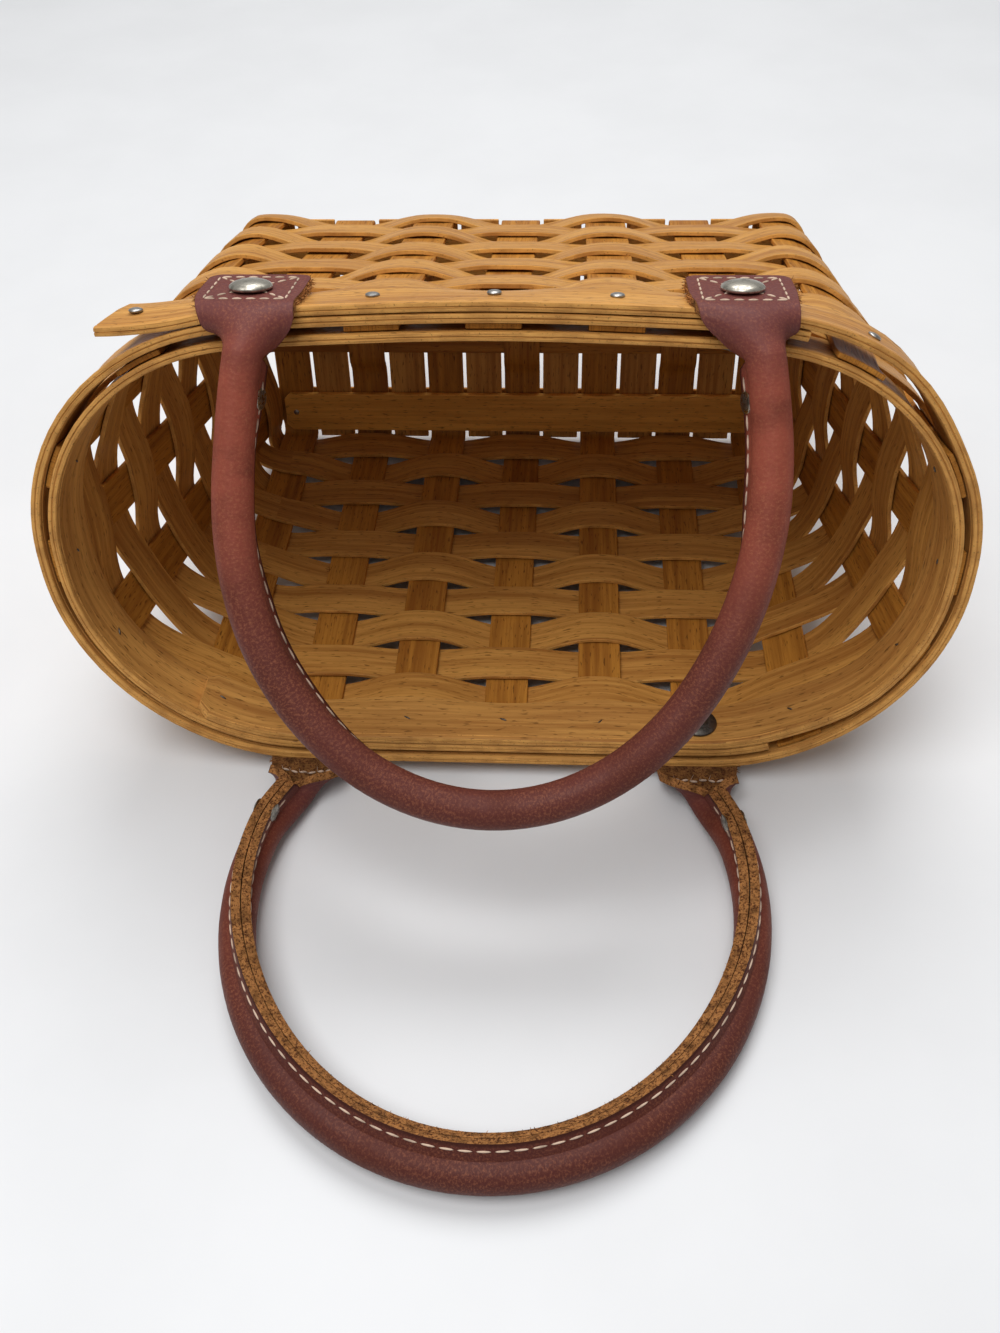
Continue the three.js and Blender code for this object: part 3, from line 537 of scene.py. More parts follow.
# Where a bow turns into legs, in shares of the strip's length from its middle
LEGS_FROM = 0.18
LEGS_FULL = 0.34

# Where a tab turns into a leg, from the strip's end, and how wide the burnish along its cut edges is
TAB_FADE_FROM = 20.5 * MM
TAB_FADE_TO = 44 * MM
BURNISH_FULL = 0.3 * MM
BURNISH_END = 1.5 * MM

# Colours of the cord inside the rolls, and the share of the nickel's brightness that the neck rivets keep
CORD_LIGHT = (0.55, 0.46, 0.32)
CORD_DARK = (0.33, 0.25, 0.15)
NECK_NICKEL_SHADE = 0.55


def shaded(base, share):
    """A colour made darker or lighter by a share."""
    return tuple(min(part * share, 1) for part in base)


def tinted(base, tint):
    """A colour whose parts are each made weaker or stronger."""
    return tuple(part * by for part, by in zip(base, tint))


class Nodes:
    """A material's node tree, with short ways to add its nodes."""

    def __init__(self, name):
        self.material = bpy.data.materials.new(name)
        self.material.use_nodes = True
        self.tree = self.material.node_tree
        self.shader = self.tree.nodes["Principled BSDF"]

    def add(self, kind, **values):
        """A new node with some of its values set."""
        node = self.tree.nodes.new(kind)
        for name, value in values.items():
            setattr(node, name, value)
        return node

    def link(self, source, target):
        self.tree.links.new(source, target)

    def grain_map(self, along, across):
        """The piece's own Grain map, stretched by a scale along and across it."""
        uv = self.add("ShaderNodeUVMap", uv_map="Grain")
        mapping = self.add("ShaderNodeMapping")
        mapping.inputs["Scale"].default_value = (along, across, 1)
        self.link(uv.outputs["UV"], mapping.inputs["Vector"])
        return mapping.outputs["Vector"]

    def along_across(self):
        """Distances along and across the piece in metres, from its own Grain map."""
        split = self.add("ShaderNodeSeparateXYZ")
        self.link(self.grain_map(1, 1), split.inputs["Vector"])
        return split.outputs["X"], split.outputs["Y"]

    def place_map(self, scale):
        """Object coordinates, stretched by one scale."""
        place = self.add("ShaderNodeTexCoord")
        mapping = self.add("ShaderNodeMapping")
        mapping.inputs["Scale"].default_value = (scale, scale, scale)
        self.link(place.outputs["Object"], mapping.inputs["Vector"])
        return mapping.outputs["Vector"]

    def noise(self, vector, scale=1.0, detail=4.0, roughness=0.55, distortion=0.0):
        """Cloudy noise, about 0.5 on average."""
        node = self.add("ShaderNodeTexNoise")
        node.inputs["Scale"].default_value = scale
        node.inputs["Detail"].default_value = detail
        node.inputs["Roughness"].default_value = roughness
        node.inputs["Distortion"].default_value = distortion
        self.link(vector, node.inputs["Vector"])
        return node.outputs["Fac"]

    def cells(self, vector, scale):
        """Distance from the nearest of many scattered points."""
        node = self.add("ShaderNodeTexVoronoi")
        node.inputs["Scale"].default_value = scale
        self.link(vector, node.inputs["Vector"])
        return node.outputs["Distance"]

    def ramp(self, factor, low, high, from_value=0.0, to_value=1.0):
        """Maps a range of values to another, clamped."""
        node = self.add("ShaderNodeMapRange", interpolation_type="SMOOTHSTEP")
        node.inputs["From Min"].default_value = low
        node.inputs["From Max"].default_value = high
        node.inputs["To Min"].default_value = from_value
        node.inputs["To Max"].default_value = to_value
        self.link(factor, node.inputs["Value"])
        return node.outputs["Result"]

    def math(self, operation, first, second):
        """Works on two numbers, each a value or a socket."""
        node = self.add("ShaderNodeMath", operation=operation)
        for socket, value in zip(node.inputs, (first, second)):
            if isinstance(value, (int, float)):
                socket.default_value = value
            else:
                self.link(value, socket)
        return node.outputs["Value"]

    def mix(self, factor, first, second):
        """Mixes two colours, each a value or a socket."""
        node = self.add("ShaderNodeMix", data_type="RGBA")
        self.link(factor, node.inputs["Factor"])
        for socket, value in ((node.inputs[6], first), (node.inputs[7], second)):
            if isinstance(value, bpy.types.NodeSocket):
                self.link(value, socket)
            else:
                socket.default_value = (*value, 1)
        return node.outputs[2]

    def bump(self, height, strength, distance, under=None):
        """A bumped normal, on top of another where one is given."""
        node = self.add("ShaderNodeBump")
        node.inputs["Strength"].default_value = strength
        node.inputs["Distance"].default_value = distance
        self.link(height, node.inputs["Height"])
        if under is not None:
            self.link(under, node.inputs["Normal"])
        return node.outputs["Normal"]

    def finish(self, base, rough, normal=None, specular=0.5, metallic=0.0):
        """Connects colour, roughness and normal to the shader and returns the material."""
        self.link(base, self.shader.inputs["Base Color"])
        if isinstance(rough, (int, float)):
            self.shader.inputs["Roughness"].default_value = rough
        else:
            self.link(rough, self.shader.inputs["Roughness"])
        if normal is not None:
            self.link(normal, self.shader.inputs["Normal"])
        self.shader.inputs["Specular IOR Level"].default_value = specular
        self.shader.inputs["Metallic"].default_value = metallic
        return self.material


def splint_wood(name, light, dark):
    """Split wood: fine fibres along the grain, slow bands of tone and short dark flecks."""
    n = Nodes(name)
    fibres = n.noise(n.grain_map(70, 1500), detail=5, roughness=0.65)
    tone = n.noise(n.grain_map(9, 120), detail=3, distortion=0.6)
    streaks = n.noise(n.grain_map(16, 620), detail=4)
    flecks = n.noise(n.grain_map(300, 1700), detail=2, roughness=0.4)
    blend = n.math("ADD", n.math("MULTIPLY", tone, 0.5), n.math("MULTIPLY", streaks, 0.5))
    base = n.mix(n.ramp(blend, 0.38, 0.66), light, dark)
    base = n.mix(n.ramp(fibres, 0.48, 0.70, 0, 0.6), base, dark)
    base = n.mix(n.ramp(flecks, 0.60, 0.72, 0, 0.85), base, shaded(dark, 0.45))
    rough = n.ramp(fibres, 0.3, 0.75, WOOD_GLOSS, WOOD_GLOSS + 0.2)
    normal = n.bump(fibres, 0.35, 0.20 * MM)
    return n.finish(base, rough, normal, specular=0.22)


def cut_wood(name, light, dark):
    """Cut edges of split wood: paler and rougher than the faces, with layers along the edge."""
    n = Nodes(name)
    layers = n.noise(n.grain_map(60, 2600), detail=4)
    crumbs = n.noise(n.place_map(1700), detail=3)
    broad = n.noise(n.place_map(160), detail=3)
    between = tuple((a + b) / 2 for a, b in zip(light, dark))
    base = n.mix(n.ramp(broad, 0.35, 0.7), shaded(light, 1.12), between)
    base = n.mix(n.ramp(layers, 0.48, 0.66, 0, 0.75), base, dark)
    base = n.mix(n.ramp(crumbs, 0.58, 0.72, 0, 0.7), base, shaded(dark, 0.5))
    return n.finish(base, 0.75, n.bump(crumbs, 0.5, 0.2 * MM), specular=0.25)


def wood_pair(kind):
    """Face and edge materials of one kind of wood, made once."""
    c = settings().colours
    light, dark = getattr(c, kind), getattr(c, f"{kind}_dark")
    finishes = {f"{kind}_splint_face": splint_wood, f"{kind}_splint_edge": cut_wood}
    return [bpy.data.materials.get(name) or make(name, light, dark) for name, make in finishes.items()]


def grain_leather(handle):
    """Grain side of a handle's leather: fine pebbles, creases darkened with painted shade, lighter worn
    specks, burnished edges, painted shade on the bow and painted light on the legs.
    """
    n = Nodes(f"{handle.side}_burgundy_leather")
    c = settings().colours
    bow, leg = BOW_PAINTED_SHADE[handle.side], LEG_PAINTED_LIGHT[handle.side]
    width, length = handle.strip_width, handle.strip_length()
    even = n.grain_map(1, 1)
    pebbles = n.cells(even, 1150)
    fine = n.noise(even, 2600, detail=3)
    patches = n.noise(even, 60, detail=4)
    creases = n.noise(n.grain_map(620, 130), detail=4, distortion=0.8)
    wear = n.noise(even, 1500, detail=5, roughness=0.8)
    rubbed = n.noise(even, 45, detail=3)
    deep = shaded(c.leather, 0.55)
    along, across = n.along_across()
    from_middle = n.math("ABSOLUTE", n.math("SUBTRACT", along, length / 2), 0)
    legs = n.ramp(from_middle, length * LEGS_FROM, length * LEGS_FULL)
    # Painted shade on the bow and painted light on the legs, blended along the strip
    base = n.mix(legs, tinted(shaded(c.leather, bow), BOW_TINT), shaded(c.leather, leg))
    base = n.mix(n.ramp(patches, 0.42, 0.74, 0, 0.7), base, deep)
    from_end = n.math("SUBTRACT", length / 2, from_middle)
    tabs = n.ramp(from_end, TAB_FADE_FROM, TAB_FADE_TO, 1, 0)
    base = n.mix(tabs, base, tinted(c.leather, TAB_TINT))
    worn = n.math("MULTIPLY", n.ramp(wear, 0.46, 0.66, 0, 0.55), n.ramp(rubbed, 0.34, 0.62, 0.45, 1))
    # Fewer worn specks on the handle whose bow has the deeper painted shade
    worn = n.math("MULTIPLY", worn, lerp(0.35, 1, bow))
    base = n.mix(worn, base, c.leather_worn)
    # Painted shade: the leather is darkened along its creases
    base = n.mix(n.ramp(creases, 0.62, 0.80, 0, 0.4), base, deep)
    burnish = n.math("MAXIMUM", n.ramp(across, BURNISH_FULL, BURNISH_END, 1, 0),
                     n.ramp(across, width - BURNISH_END, width - BURNISH_FULL))
    base = n.mix(n.math("MULTIPLY", burnish, 0.85), base, shaded(c.leather, 0.22))
    rough = n.ramp(patches, 0.3, 0.7, 0.44, 0.6)
    lumps = n.math("ADD", n.math("MULTIPLY", pebbles, 0.7), n.math("MULTIPLY", fine, 0.4))
    normal = n.bump(creases, 0.15, 0.3 * MM, n.bump(lumps, 0.4, 0.22 * MM))
    return n.finish(base, rough, normal, specular=0.15)


def raw_leather(name, share):
    """Suede side and cut edges of the leather: loose fibres and dark specks."""
    n = Nodes(name)
    c = settings().colours
    fibres = n.noise(n.place_map(1), 1500, detail=6, roughness=0.75)
    patches = n.noise(n.place_map(1), 420, detail=4)
    # The share makes this a lighter or darker copy of the suede: painted shade on the suede side, painted
    # light on the cut edges and loose fibres
    pale = shaded(c.suede, share)
    base = n.mix(n.ramp(patches, 0.38, 0.72), pale, shaded(pale, 0.42))
    base = n.mix(n.ramp(fibres, 0.47, 0.60, 0, 0.9), base, shaded(c.leather, 0.3))
    return n.finish(base, 0.95, n.bump(fibres, 0.9, 0.5 * MM), specular=0.1)


def sewing_thread():
    """Cream thread, twisted and a little dirty."""
    n = Nodes("sewing_thread")
    c = settings().colours
    twist = n.noise(n.place_map(3000), detail=2)
    dirt = n.noise(n.place_map(260), detail=3)
    base = n.mix(n.ramp(dirt, 0.4, 0.68), c.thread, shaded(c.thread, 0.62))
    return n.finish(base, 0.82, n.bump(twist, 0.5, 0.12 * MM), specular=0.2)


def worn_metal(name, bright, rough, tarnish):
    """Plated metal with tarnish and fine scratches, made once."""
    if name in bpy.data.materials:
        return bpy.data.materials[name]
    n = Nodes(name)
    spots = n.noise(n.place_map(420), detail=5, roughness=0.65)
    fine = n.noise(n.place_map(2400), detail=3)
    base = n.mix(n.ramp(spots, 0.42, 0.66), bright, shaded(bright, tarnish))
    roughness = n.ramp(spots, 0.35, 0.7, rough, rough + 0.22)
    return n.finish(base, roughness, n.bump(fine, 0.12, 0.05 * MM), metallic=1.0)


def blackened_nickel():
    """The dark metal of the burrs and the tacks' points."""
    return worn_metal("blackened_nickel", settings().colours.dark_metal, 0.42, 0.5)


def cord_fibre():
    """The cord inside the rolls."""
    n = Nodes("cord_fibre")
    strands = n.noise(n.place_map(900), detail=4)
    base = n.mix(n.ramp(strands, 0.35, 0.7), CORD_LIGHT, CORD_DARK)
    return n.finish(base, 0.9, n.bump(strands, 0.5, 0.3 * MM))


# Weaving

# How a weaver passes an upright: the range of its bulge, how square its arch is and where that turns
WEAVER_BULGE = (1.02, 1.22)
ARCH_SQUARENESS = 0.45
ARCH_TURN = (0.16, 0.84)

# A weaver's waves, as counts round the wall and heights: two move it up and down, the last tilts it
WEAVER_WAVES = ((3, 0.16 * MM), (7, 0.10 * MM), (9, 0.14 * MM))


def weaver_rows(wall, row, chance):
    """One row of weaving: a ring that passes inside and outside the uprights in turn."""
    middle = wall.band_low - wall.row_pitch * (row - 0.5)
    reach = math.cos(math.atan(wall.slope)) * wall.sizes.splint_width / 2
    phase = [chance.uniform(0, math.tau) for _ in WEAVER_WAVES]
    bulge = [chance.uniform(*WEAVER_BULGE) for _ in range(UPRIGHTS)]
    rows = []
    for i in range(UPRIGHTS * WEAVER_STEPS + 1):
        station = i / WEAVER_STEPS
        number = math.floor(station)
        share = station - number
        lift = -wall.layer if (row + number) % 2 else wall.layer
        size_here = lerp(bulge[number % UPRIGHTS], bulge[(number + 1) % UPRIGHTS], share)
        square = 1 - 2 * smooth(*ARCH_TURN, share)
        arch = ARCH_SQUARENESS * square + (1 - ARCH_SQUARENESS) * math.cos(math.pi * share)
        offset = lift * size_here * arch
        turn = math.tau * station / UPRIGHTS
        slow, quick, tilt = (height * math.sin(count * turn + start)
                             for (count, height), start in zip(WEAVER_WAVES, phase))
        points = []
        for spot in spread_out(-1, 1, STRIP_BREADTH):
            point, _ = wall.between(middle + slow + quick + spot * reach, station, offset + spot * tilt)
            points.append(point)
        rows.append(points)
    rows[-1] = rows[0]
    return rows


class BASKET_OT_weavers(bpy.types.Operator):
    """Weave the rows of splints round the uprights"""

    bl_idname = "basket.weavers"
    bl_label = "Weave the walls"

    def execute(self, context):
        wall = Wall()
        chance = random.Random(WEAVER_SEED)
        for row in range(1, WEAVER_ROWS + 1):
            name = f"weaver_row_{row:02d}"
            rows = place_rows(weaver_rows(wall, row, chance))
            # The weavers rest on the table and don't dip into it
            for line in rows:
                for point in line:
                    point.z = max(point.z, wall.half)
            mesh = strip_mesh(rows, closed=True, start=row * WEAVER_GRAIN_STEP)
            piece = finish_mesh(f"{name}_splint", mesh, wood_pair("weaver"))
            thicken(piece, wall.sizes.splint_thickness, SPLINT_EDGE, rim=1)
            seat(piece, "basket", "weaver_wood", name)
        return {"FINISHED"}


# Uprights and floor

# How far an upright's foot bends, and its flat room and ramp where it passes over the centre one
FOOT_BEND = 3 * MM
OVER_ROOM = 1.7 * MM
OVER_RAMP = 6 * MM


def wall_stretch(wall, number, level, way):
    """An upright's rows of points from the rim down to the floor, with a rounded foot."""
    heights = spread_out(wall.rim_z - wall.sizes.upright_drop, wall.floor_z + FOOT_BEND, UPRIGHT_STEPS)
    rows = [wall.upright_row(number, z, way) for z in heights]
    foot = wall.upright_row(number, wall.floor_z, way)
    _, outward = wall.at(wall.floor_z, wall.upright_place(number, wall.floor_z))
    lowest = rows[-1]
    for share in spread_out(0, 1, FOOT_STEPS)[1:]:
        row = []
        for start, below in zip(lowest, foot):
            corner = Vector((below.x, below.y, level))
            end = corner - outward * FOOT_BEND
            row.append(start.lerp(corner, share).lerp(corner.lerp(end, share), share))
        rows.append(row)
    return rows


def cross_rows(wall, k):
    """A cross upright: down the lower wall, across the floor and up the upper wall."""
    down = wall_stretch(wall, lower_number(k), wall.floor_z, 1)
    up = wall_stretch(wall, upper_number(k), wall.floor_z, -1)[::-1]
    over = 2 * wall.layer if (k + SIDE_REACH) % 2 else 0
    reach = wall.sizes.splint_width / 2
    flat = reach + OVER_ROOM
    start = down[-1][0].y
    spots = spread_out(-reach, reach, STRIP_BREADTH)
    across = []
    for y in spread_out(start, -start, CROSS_STEPS)[1:-1]:
        z = wall.floor_z + over * (1 - smooth(flat, flat + OVER_RAMP, abs(y)))
        across.append([Vector((k * wall.pitch + spot, y, z)) for spot in spots])
    return down + across + up


def long_rows(wall, m):
    """A lengthwise upright: down the right end, along the floor and up the left end."""
    level = wall.floor_z + wall.layer if m == 0 else wall.floor_z - wall.layer
    right = SIDE_UPRIGHTS + END_REACH + m
    left = 2 * SIDE_UPRIGHTS + END_UPRIGHTS + END_REACH - m
    down = wall_stretch(wall, right, level, 1)
    up = wall_stretch(wall, left, level, -1)[::-1]
    reach = wall.sizes.splint_width / 2
    start = down[-1][0].x
    spots = spread_out(-reach, reach, STRIP_BREADTH)
    along = [[Vector((x, m * wall.pitch + spot, level)) for spot in spots]
             for x in spread_out(start, -start, LONG_STEPS)[1:-1]]
    return down + along + up


class BASKET_OT_uprights(bpy.types.Operator):
    """Lay the uprights across the floor and bend them up the walls"""

    bl_idname = "basket.uprights"
    bl_label = "Bend the uprights"

    def execute(self, context):
        wall = Wall()
        layouts = {f"cross_upright_{k + SIDE_REACH + 1}": cross_rows(wall, k)
                   for k in range(-SIDE_REACH, SIDE_REACH + 1)}
        for m, side in zip(range(-END_REACH, END_REACH + 1), ("lower", "centre", "upper")):
            layouts[f"long_upright_{side}"] = long_rows(wall, m)
        for i, (name, rows) in enumerate(layouts.items()):
            mesh = strip_mesh(place_rows(rows), start=UPRIGHT_GRAIN + i * UPRIGHT_GRAIN_STEP)
            piece = finish_mesh(f"{name}_splint", mesh, wood_pair("upright"))
            thicken(piece, wall.sizes.splint_thickness, SPLINT_EDGE, rim=1)
            seat(piece, "basket", "upright_wood", name)
        return {"FINISHED"}


class BASKET_OT_floor(bpy.types.Operator):
    """Lay the fillers between the uprights and the two bars along the floor's edges"""

    bl_idname = "basket.floor"
    bl_label = "Lay the floor"

    def execute(self, context):
        wall = Wall()
        self.fillers(wall)
        self.bars(wall)
        return {"FINISHED"}

    def fillers(self, wall):
        """The splints between the cross uprights."""
        s = wall.sizes
        reach = s.splint_width / 2
        spots = spread_out(-reach, reach, STRIP_BREADTH)
        length = wall.base_width + s.filler_overhang
        for i in range(SIDE_UPRIGHTS - 1):
            x = (i - SIDE_REACH + 0.5) * wall.pitch
            rows = [[Vector((x + spot, y, wall.floor_z)) for spot in spots]
                    for y in spread_out(-length, length, FILLER_STEPS)]
            name = f"floor_filler_{i + 1}"
            mesh = strip_mesh(place_rows(rows), start=FILLER_GRAIN + i)
            piece = finish_mesh(f"{name}_splint", mesh, wood_pair("weaver"))
            thicken(piece, s.splint_thickness, SPLINT_EDGE, rim=1)
            seat(piece, "basket", "floor_wood", name)

    def bars(self, wall):
        """The bars with cut corners along the floor's long edges."""
        s = wall.sizes
        end = wall.bar_end
        straight = end - s.bar_corner
        for side, name in ((-1, "floor_bar_lower"), (1, "floor_bar_upper")):
            y = side * wall.bar_y
            rows = []
            for x in [-end, *spread_out(-straight, straight, BAR_STEPS), end]:
                half = s.bar_width / 2 - max(abs(x) - straight, 0)
                spots = spread_out(-half, half, STRIP_BREADTH)
                rows.append([Vector((x, y + spot, wall.bar_z)) for spot in spots])
            mesh = strip_mesh(place_rows(rows), start=BAR_GRAIN + y)
            piece = finish_mesh(f"{name}_wood", mesh, wood_pair("bar"))
            thicken(piece, s.bar_thickness, BAR_EDGE, edge_steps=3, rim=1)
            seat(piece, "basket", "floor_wood", name)


# Rim bands

# A band's section: how far its edges are eased, how deep its grooves are and how far below its edge they run
BAND_EASE = 0.5 * MM
BAND_GROOVE = 0.2 * MM
GROOVE_DROP = 1.4 * MM

# Shares of the step past an upright at which the outer band starts and the inner one ends
OUTER_START = 0.5
INNER_END = 0.7

# Steps from the upright at the laps' right end in which the outer band climbs and the inner one drops
OUTER_CLIMB = (-0.9, -0.1)
INNER_DROP = (-0.15, 0.75)

# How much of the wall's slope the loose end loses, and in which share of its length
TAIL_UNTWIST = 1.4
UNTWIST_SHARE = 0.6


def band_section(width, thickness):
    """A rim band's section as (offset, height) pairs: eased edges, fine grooves beside the upper edge."""
    half = thickness / 2
    top = width / 2
    ease = BAND_EASE
    corner = 0.3 * ease
    groove = BAND_GROOVE
    line = top - GROOVE_DROP
    side = [(half - ease, -top), (half - corner, corner - top), (half, ease - top), (half, -top / 3),
            (half, top / 3), (half, line - groove), (half - groove, line), (half, line + groove),
            (half, top - ease), (half - corner, top - corner), (half - ease, top), (groove, top)]
    return [*side, (0, top - 1.5 * groove), *((-offset, height) for offset, height in side[::-1])]


def band_row(wall, section, station, layer, cut=0.0):
    """A band's section at a station of the wall, with both edges cut back by some height."""
    keep = 1 - 2 * cut / wall.sizes.band_width
    return [wall.between(wall.band_z + height * keep, station, layer + offset)[0]
            for offset, height in section]


def outer_band_rows(wall):
    """Round the outside from under its own lap, over it along the upper side, to a straight tail."""
    s = wall.sizes
    section = band_section(s.band_width, s.outer_band)
    first = upper_number(SIDE_REACH) + OUTER_START
    last = upper_number(1 - SIDE_REACH) + UPRIGHTS
    over = upper_number(SIDE_REACH) + UPRIGHTS
    rows = []
    for station in spread_out(first, last, round((last - first) * BAND_STEPS)):
        climb = smooth(*OUTER_CLIMB, station - over)
        rows.append(band_row(wall, section, station, lerp(wall.outer_layer, wall.outer_lap, climb)))
    end = -(SIDE_REACH * wall.pitch + s.lap_tail)
    straight = rows[-1]
    for share in spread_out(0, 1, TAIL_STEPS)[1:]:
        tail = []
        for point, (_, height) in zip(straight, section):
            slant = s.tail_slant * (0.5 - height / s.band_width)
            untwist = TAIL_UNTWIST * wall.slope * height * smooth(0, UNTWIST_SHARE, share)
            droop = s.tail_droop * smooth(0, 1, share) + untwist
            tail.append(Vector((lerp(point.x, end + slant, share), point.y - droop, point.z)))
        rows.append(tail)
    return rows


def inner_band_rows(wall):
    """Round the inside from its lap along the lower side, whose end has its corners cut."""
    s = wall.sizes
    section = band_section(s.band_width, s.inner_band)
    first = lower_number(-SIDE_REACH) - s.inner_lap_past / wall.pitch
    last = lower_number(SIDE_REACH - 1) + UPRIGHTS + INNER_END
    under = lower_number(SIDE_REACH)
    cut_end = first + s.lap_corner / wall.pitch
    corner = [first, lerp(first, cut_end, 0.5)]
    rows = []
    for station in corner + spread_out(cut_end, last, round((last - first) * BAND_STEPS)):
        drop = smooth(*INNER_DROP, station - under)
        cut = max(s.lap_corner - (station - first) * wall.pitch, 0)
        rows.append(band_row(wall, section, station, lerp(wall.inner_lap, wall.inner_layer, drop), cut))
    return rows


class BASKET_OT_rim(bpy.types.Operator):
    """Wrap the outer and inner bands round the rim"""

    bl_idname = "basket.rim"
    bl_label = "Wrap the rim bands"

    def execute(self, context):
        wall = Wall()
        for name, rows, start in (("rim_outer_band", outer_band_rows(wall), OUTER_BAND_GRAIN),
                                  ("rim_inner_band", inner_band_rows(wall), INNER_BAND_GRAIN)):
            mesh = bar_mesh(place_rows(rows), start)
            piece = finish_mesh(f"{name}_wood", mesh, wood_pair("band"), crease=BAND_CREASE)
            seat(piece, "basket", "band_wood", name)
        return {"FINISHED"}


# Fasteners

# A clinched tack point: how far its middle stands off the band, its turn either way, half length and width
CLINCH_LIFT = 0.08 * MM
CLINCH_TURN = 0.9
CLINCH_REACH = (0.7 * MM, 1.2 * MM)
CLINCH_WIDTH = 0.55 * MM

# Size of the floor bars' tacks beside that of the rim's
BAR_TACK_SHARE = 0.6


def turned_mesh(mesh, profile, steps, place):
    """Turns a profile of (radius, height) pairs round the axis and sets it in place."""
    start = [mesh.verts.new((radius, 0, height)) for radius, height in profile]
    edges = [mesh.edges.new(pair) for pair in zip(start, start[1:])]
    bmesh.ops.spin(mesh, geom=start + edges, cent=(0, 0, 0), axis=(0, 0, 1), dvec=(0, 0, 0),
                   angle=math.tau, steps=steps, use_merge=True)
    fresh = [vertex for vertex in mesh.verts if not vertex.tag]
    bmesh.ops.remove_doubles(mesh, verts=fresh, dist=TURNED_MERGE)
    fresh = [vertex for vertex in mesh.verts if not vertex.tag]
    bmesh.ops.transform(mesh, matrix=place, verts=fresh)
    for vertex in fresh:
        vertex.tag = True


def turned_piece(name, profiles, material, steps=ROUND_STEPS):
    """One piece of several turned shapes, each a profile with its place."""
    mesh = bmesh.new()
    for profile, place in profiles:
        turned_mesh(mesh, profile, steps, place)
    bmesh.ops.recalc_face_normals(mesh, faces=mesh.faces)
    return finish_mesh(name, mesh, [material])


def stand_on(point, direction):
    """Sets a turned piece's foot at a point with its axis along a direction, where the basket lies."""
    lie = basket_frame()
    axis = (lie.to_3x3() @ direction).normalized()
    return Matrix.Translation(lie @ point) @ axis.to_track_quat("Z", "Y").to_matrix().to_4x4()


def bead(mesh, start, end, lift, width):
    """A long bead between two points, lying on a face: a stitch or a clinched point."""
    run = end - start
    turn = Matrix((run.normalized(), lift.cross(run).normalized(), lift)).transposed().to_4x4()
    stretch = Matrix.Diagonal((run.length / 2, width / 2, width / 2, 1))
    place = Matrix.Translation((start + end) / 2) @ turn @ stretch
    bmesh.ops.create_uvsphere(mesh, u_segments=8, v_segments=6, radius=1, matrix=place)


def dome(radius, height, foot, round_steps):
    """A domed head's profile from its edge to its crown."""
    turns = spread_out(0, math.pi / 2, round_steps // 4)
    return [(radius * math.cos(turn), foot + height * math.sin(turn)) for turn in turns]


def cap_profile(s):
    """A rivet's cap from its underside over its rolled edge to its crown."""
    radius = s.rivet_cap / 2
    under = 0.2 * MM
    roll = 0.35 * MM
    return [(0, -under), (radius - 2 * roll, -under), (radius - under, 0),
            *dome(radius, s.rivet_height - roll, roll, ROUND_STEPS)]


def burr_profile(s):
    """A washer with eased edges and the rivet's peened end in its hole."""
    edge = s.burr / 2
    ease = 0.2 * MM
    washer = [(0, 0), (edge - ease, 0), (edge, ease), (edge - 0.3 * MM, 0.62 * MM)]
    peened = [(2.8, 1.0), (2.35, 1.0), (2.3, 1.35), (1.8, 1.75), (0.9, 1.85), (0, 1.8)]
    return washer + [(radius * MM, height * MM) for radius, height in peened]


def tack_profile(s):
    """A tack's low head, its underside sunk in the wood."""
    radius = s.tack_head / 2
    ease = 0.2 * MM
    sunk = 0.3 * MM
    return [(0, -sunk), (radius - ease, -sunk), *dome(radius, 0.6 * MM, 0.05 * MM, TACK_STEPS)]


def neck_rivet_profile(s, face):
    """A neck rivet's low head on a shank that reaches the middle of the seam."""
    radius = s.neck_rivet / 2
    shank = 1 * MM
    sunk = 0.1 * MM
    ease = 0.3 * MM
    return [(0, -face), (shank, -face), (shank, -sunk), (radius - ease, -sunk),
            *dome(radius, 0.5 * MM, 0.05 * MM, NECK_RIVET_STEPS)]


def rivet_sites(wall):
    """Each rivet's name, its place in the wall, the way out and whether it is on the upper side."""
    for side, number in zip(SIDES, (lower_number, upper_number)):
        for k, end in ((-RIVET_UPRIGHT, "left"), (RIVET_UPRIGHT, "right")):
            point, normal = wall.rim_site(number(k))
            yield f"{side}_{end}", point, normal, side == "upper"


def outer_face(wall, lapped):
    """How far out of the wall's middle the outer band's face is."""
    return (wall.outer_lap if lapped else wall.outer_layer) + wall.sizes.outer_band / 2


def inner_face(wall, lapped):
    """How far out of the wall's middle the inner band's face is, a negative distance."""
    return (wall.inner_lap if lapped else wall.inner_layer) - wall.sizes.inner_band / 2


class BASKET_OT_rivets(bpy.types.Operator):
    """Set the domed cap rivets through the tabs, with their burrs inside"""

    bl_idname = "basket.rivets"
    bl_label = "Set the rivets"

    def execute(self, context):
        wall = Wall()
        clearance = wall.sizes.clearance
        leather = settings().leather
        nickel = worn_metal("tarnished_nickel", settings().colours.nickel, 0.30, 0.45)
        dark = blackened_nickel()
        for name, point, normal, upper in rivet_sites(wall):
            out = wall.square_out(normal)
            front = point + normal * (outer_face(wall, upper) + 2 * clearance + leather.thickness)
            piece = turned_piece(f"rivet_{name}_cap", [(cap_profile(leather), stand_on(front, out))], nickel)
            seat(piece, "basket", "nickel", f"rivet_{name}")
            back = point + normal * (inner_face(wall, not upper) - clearance)
            piece = turned_piece(f"burr_{name}_washer", [(burr_profile(leather), stand_on(back, -out))], dark)
            seat(piece, "basket", "dark_nickel", f"burr_{name}")
        return {"FINISHED"}


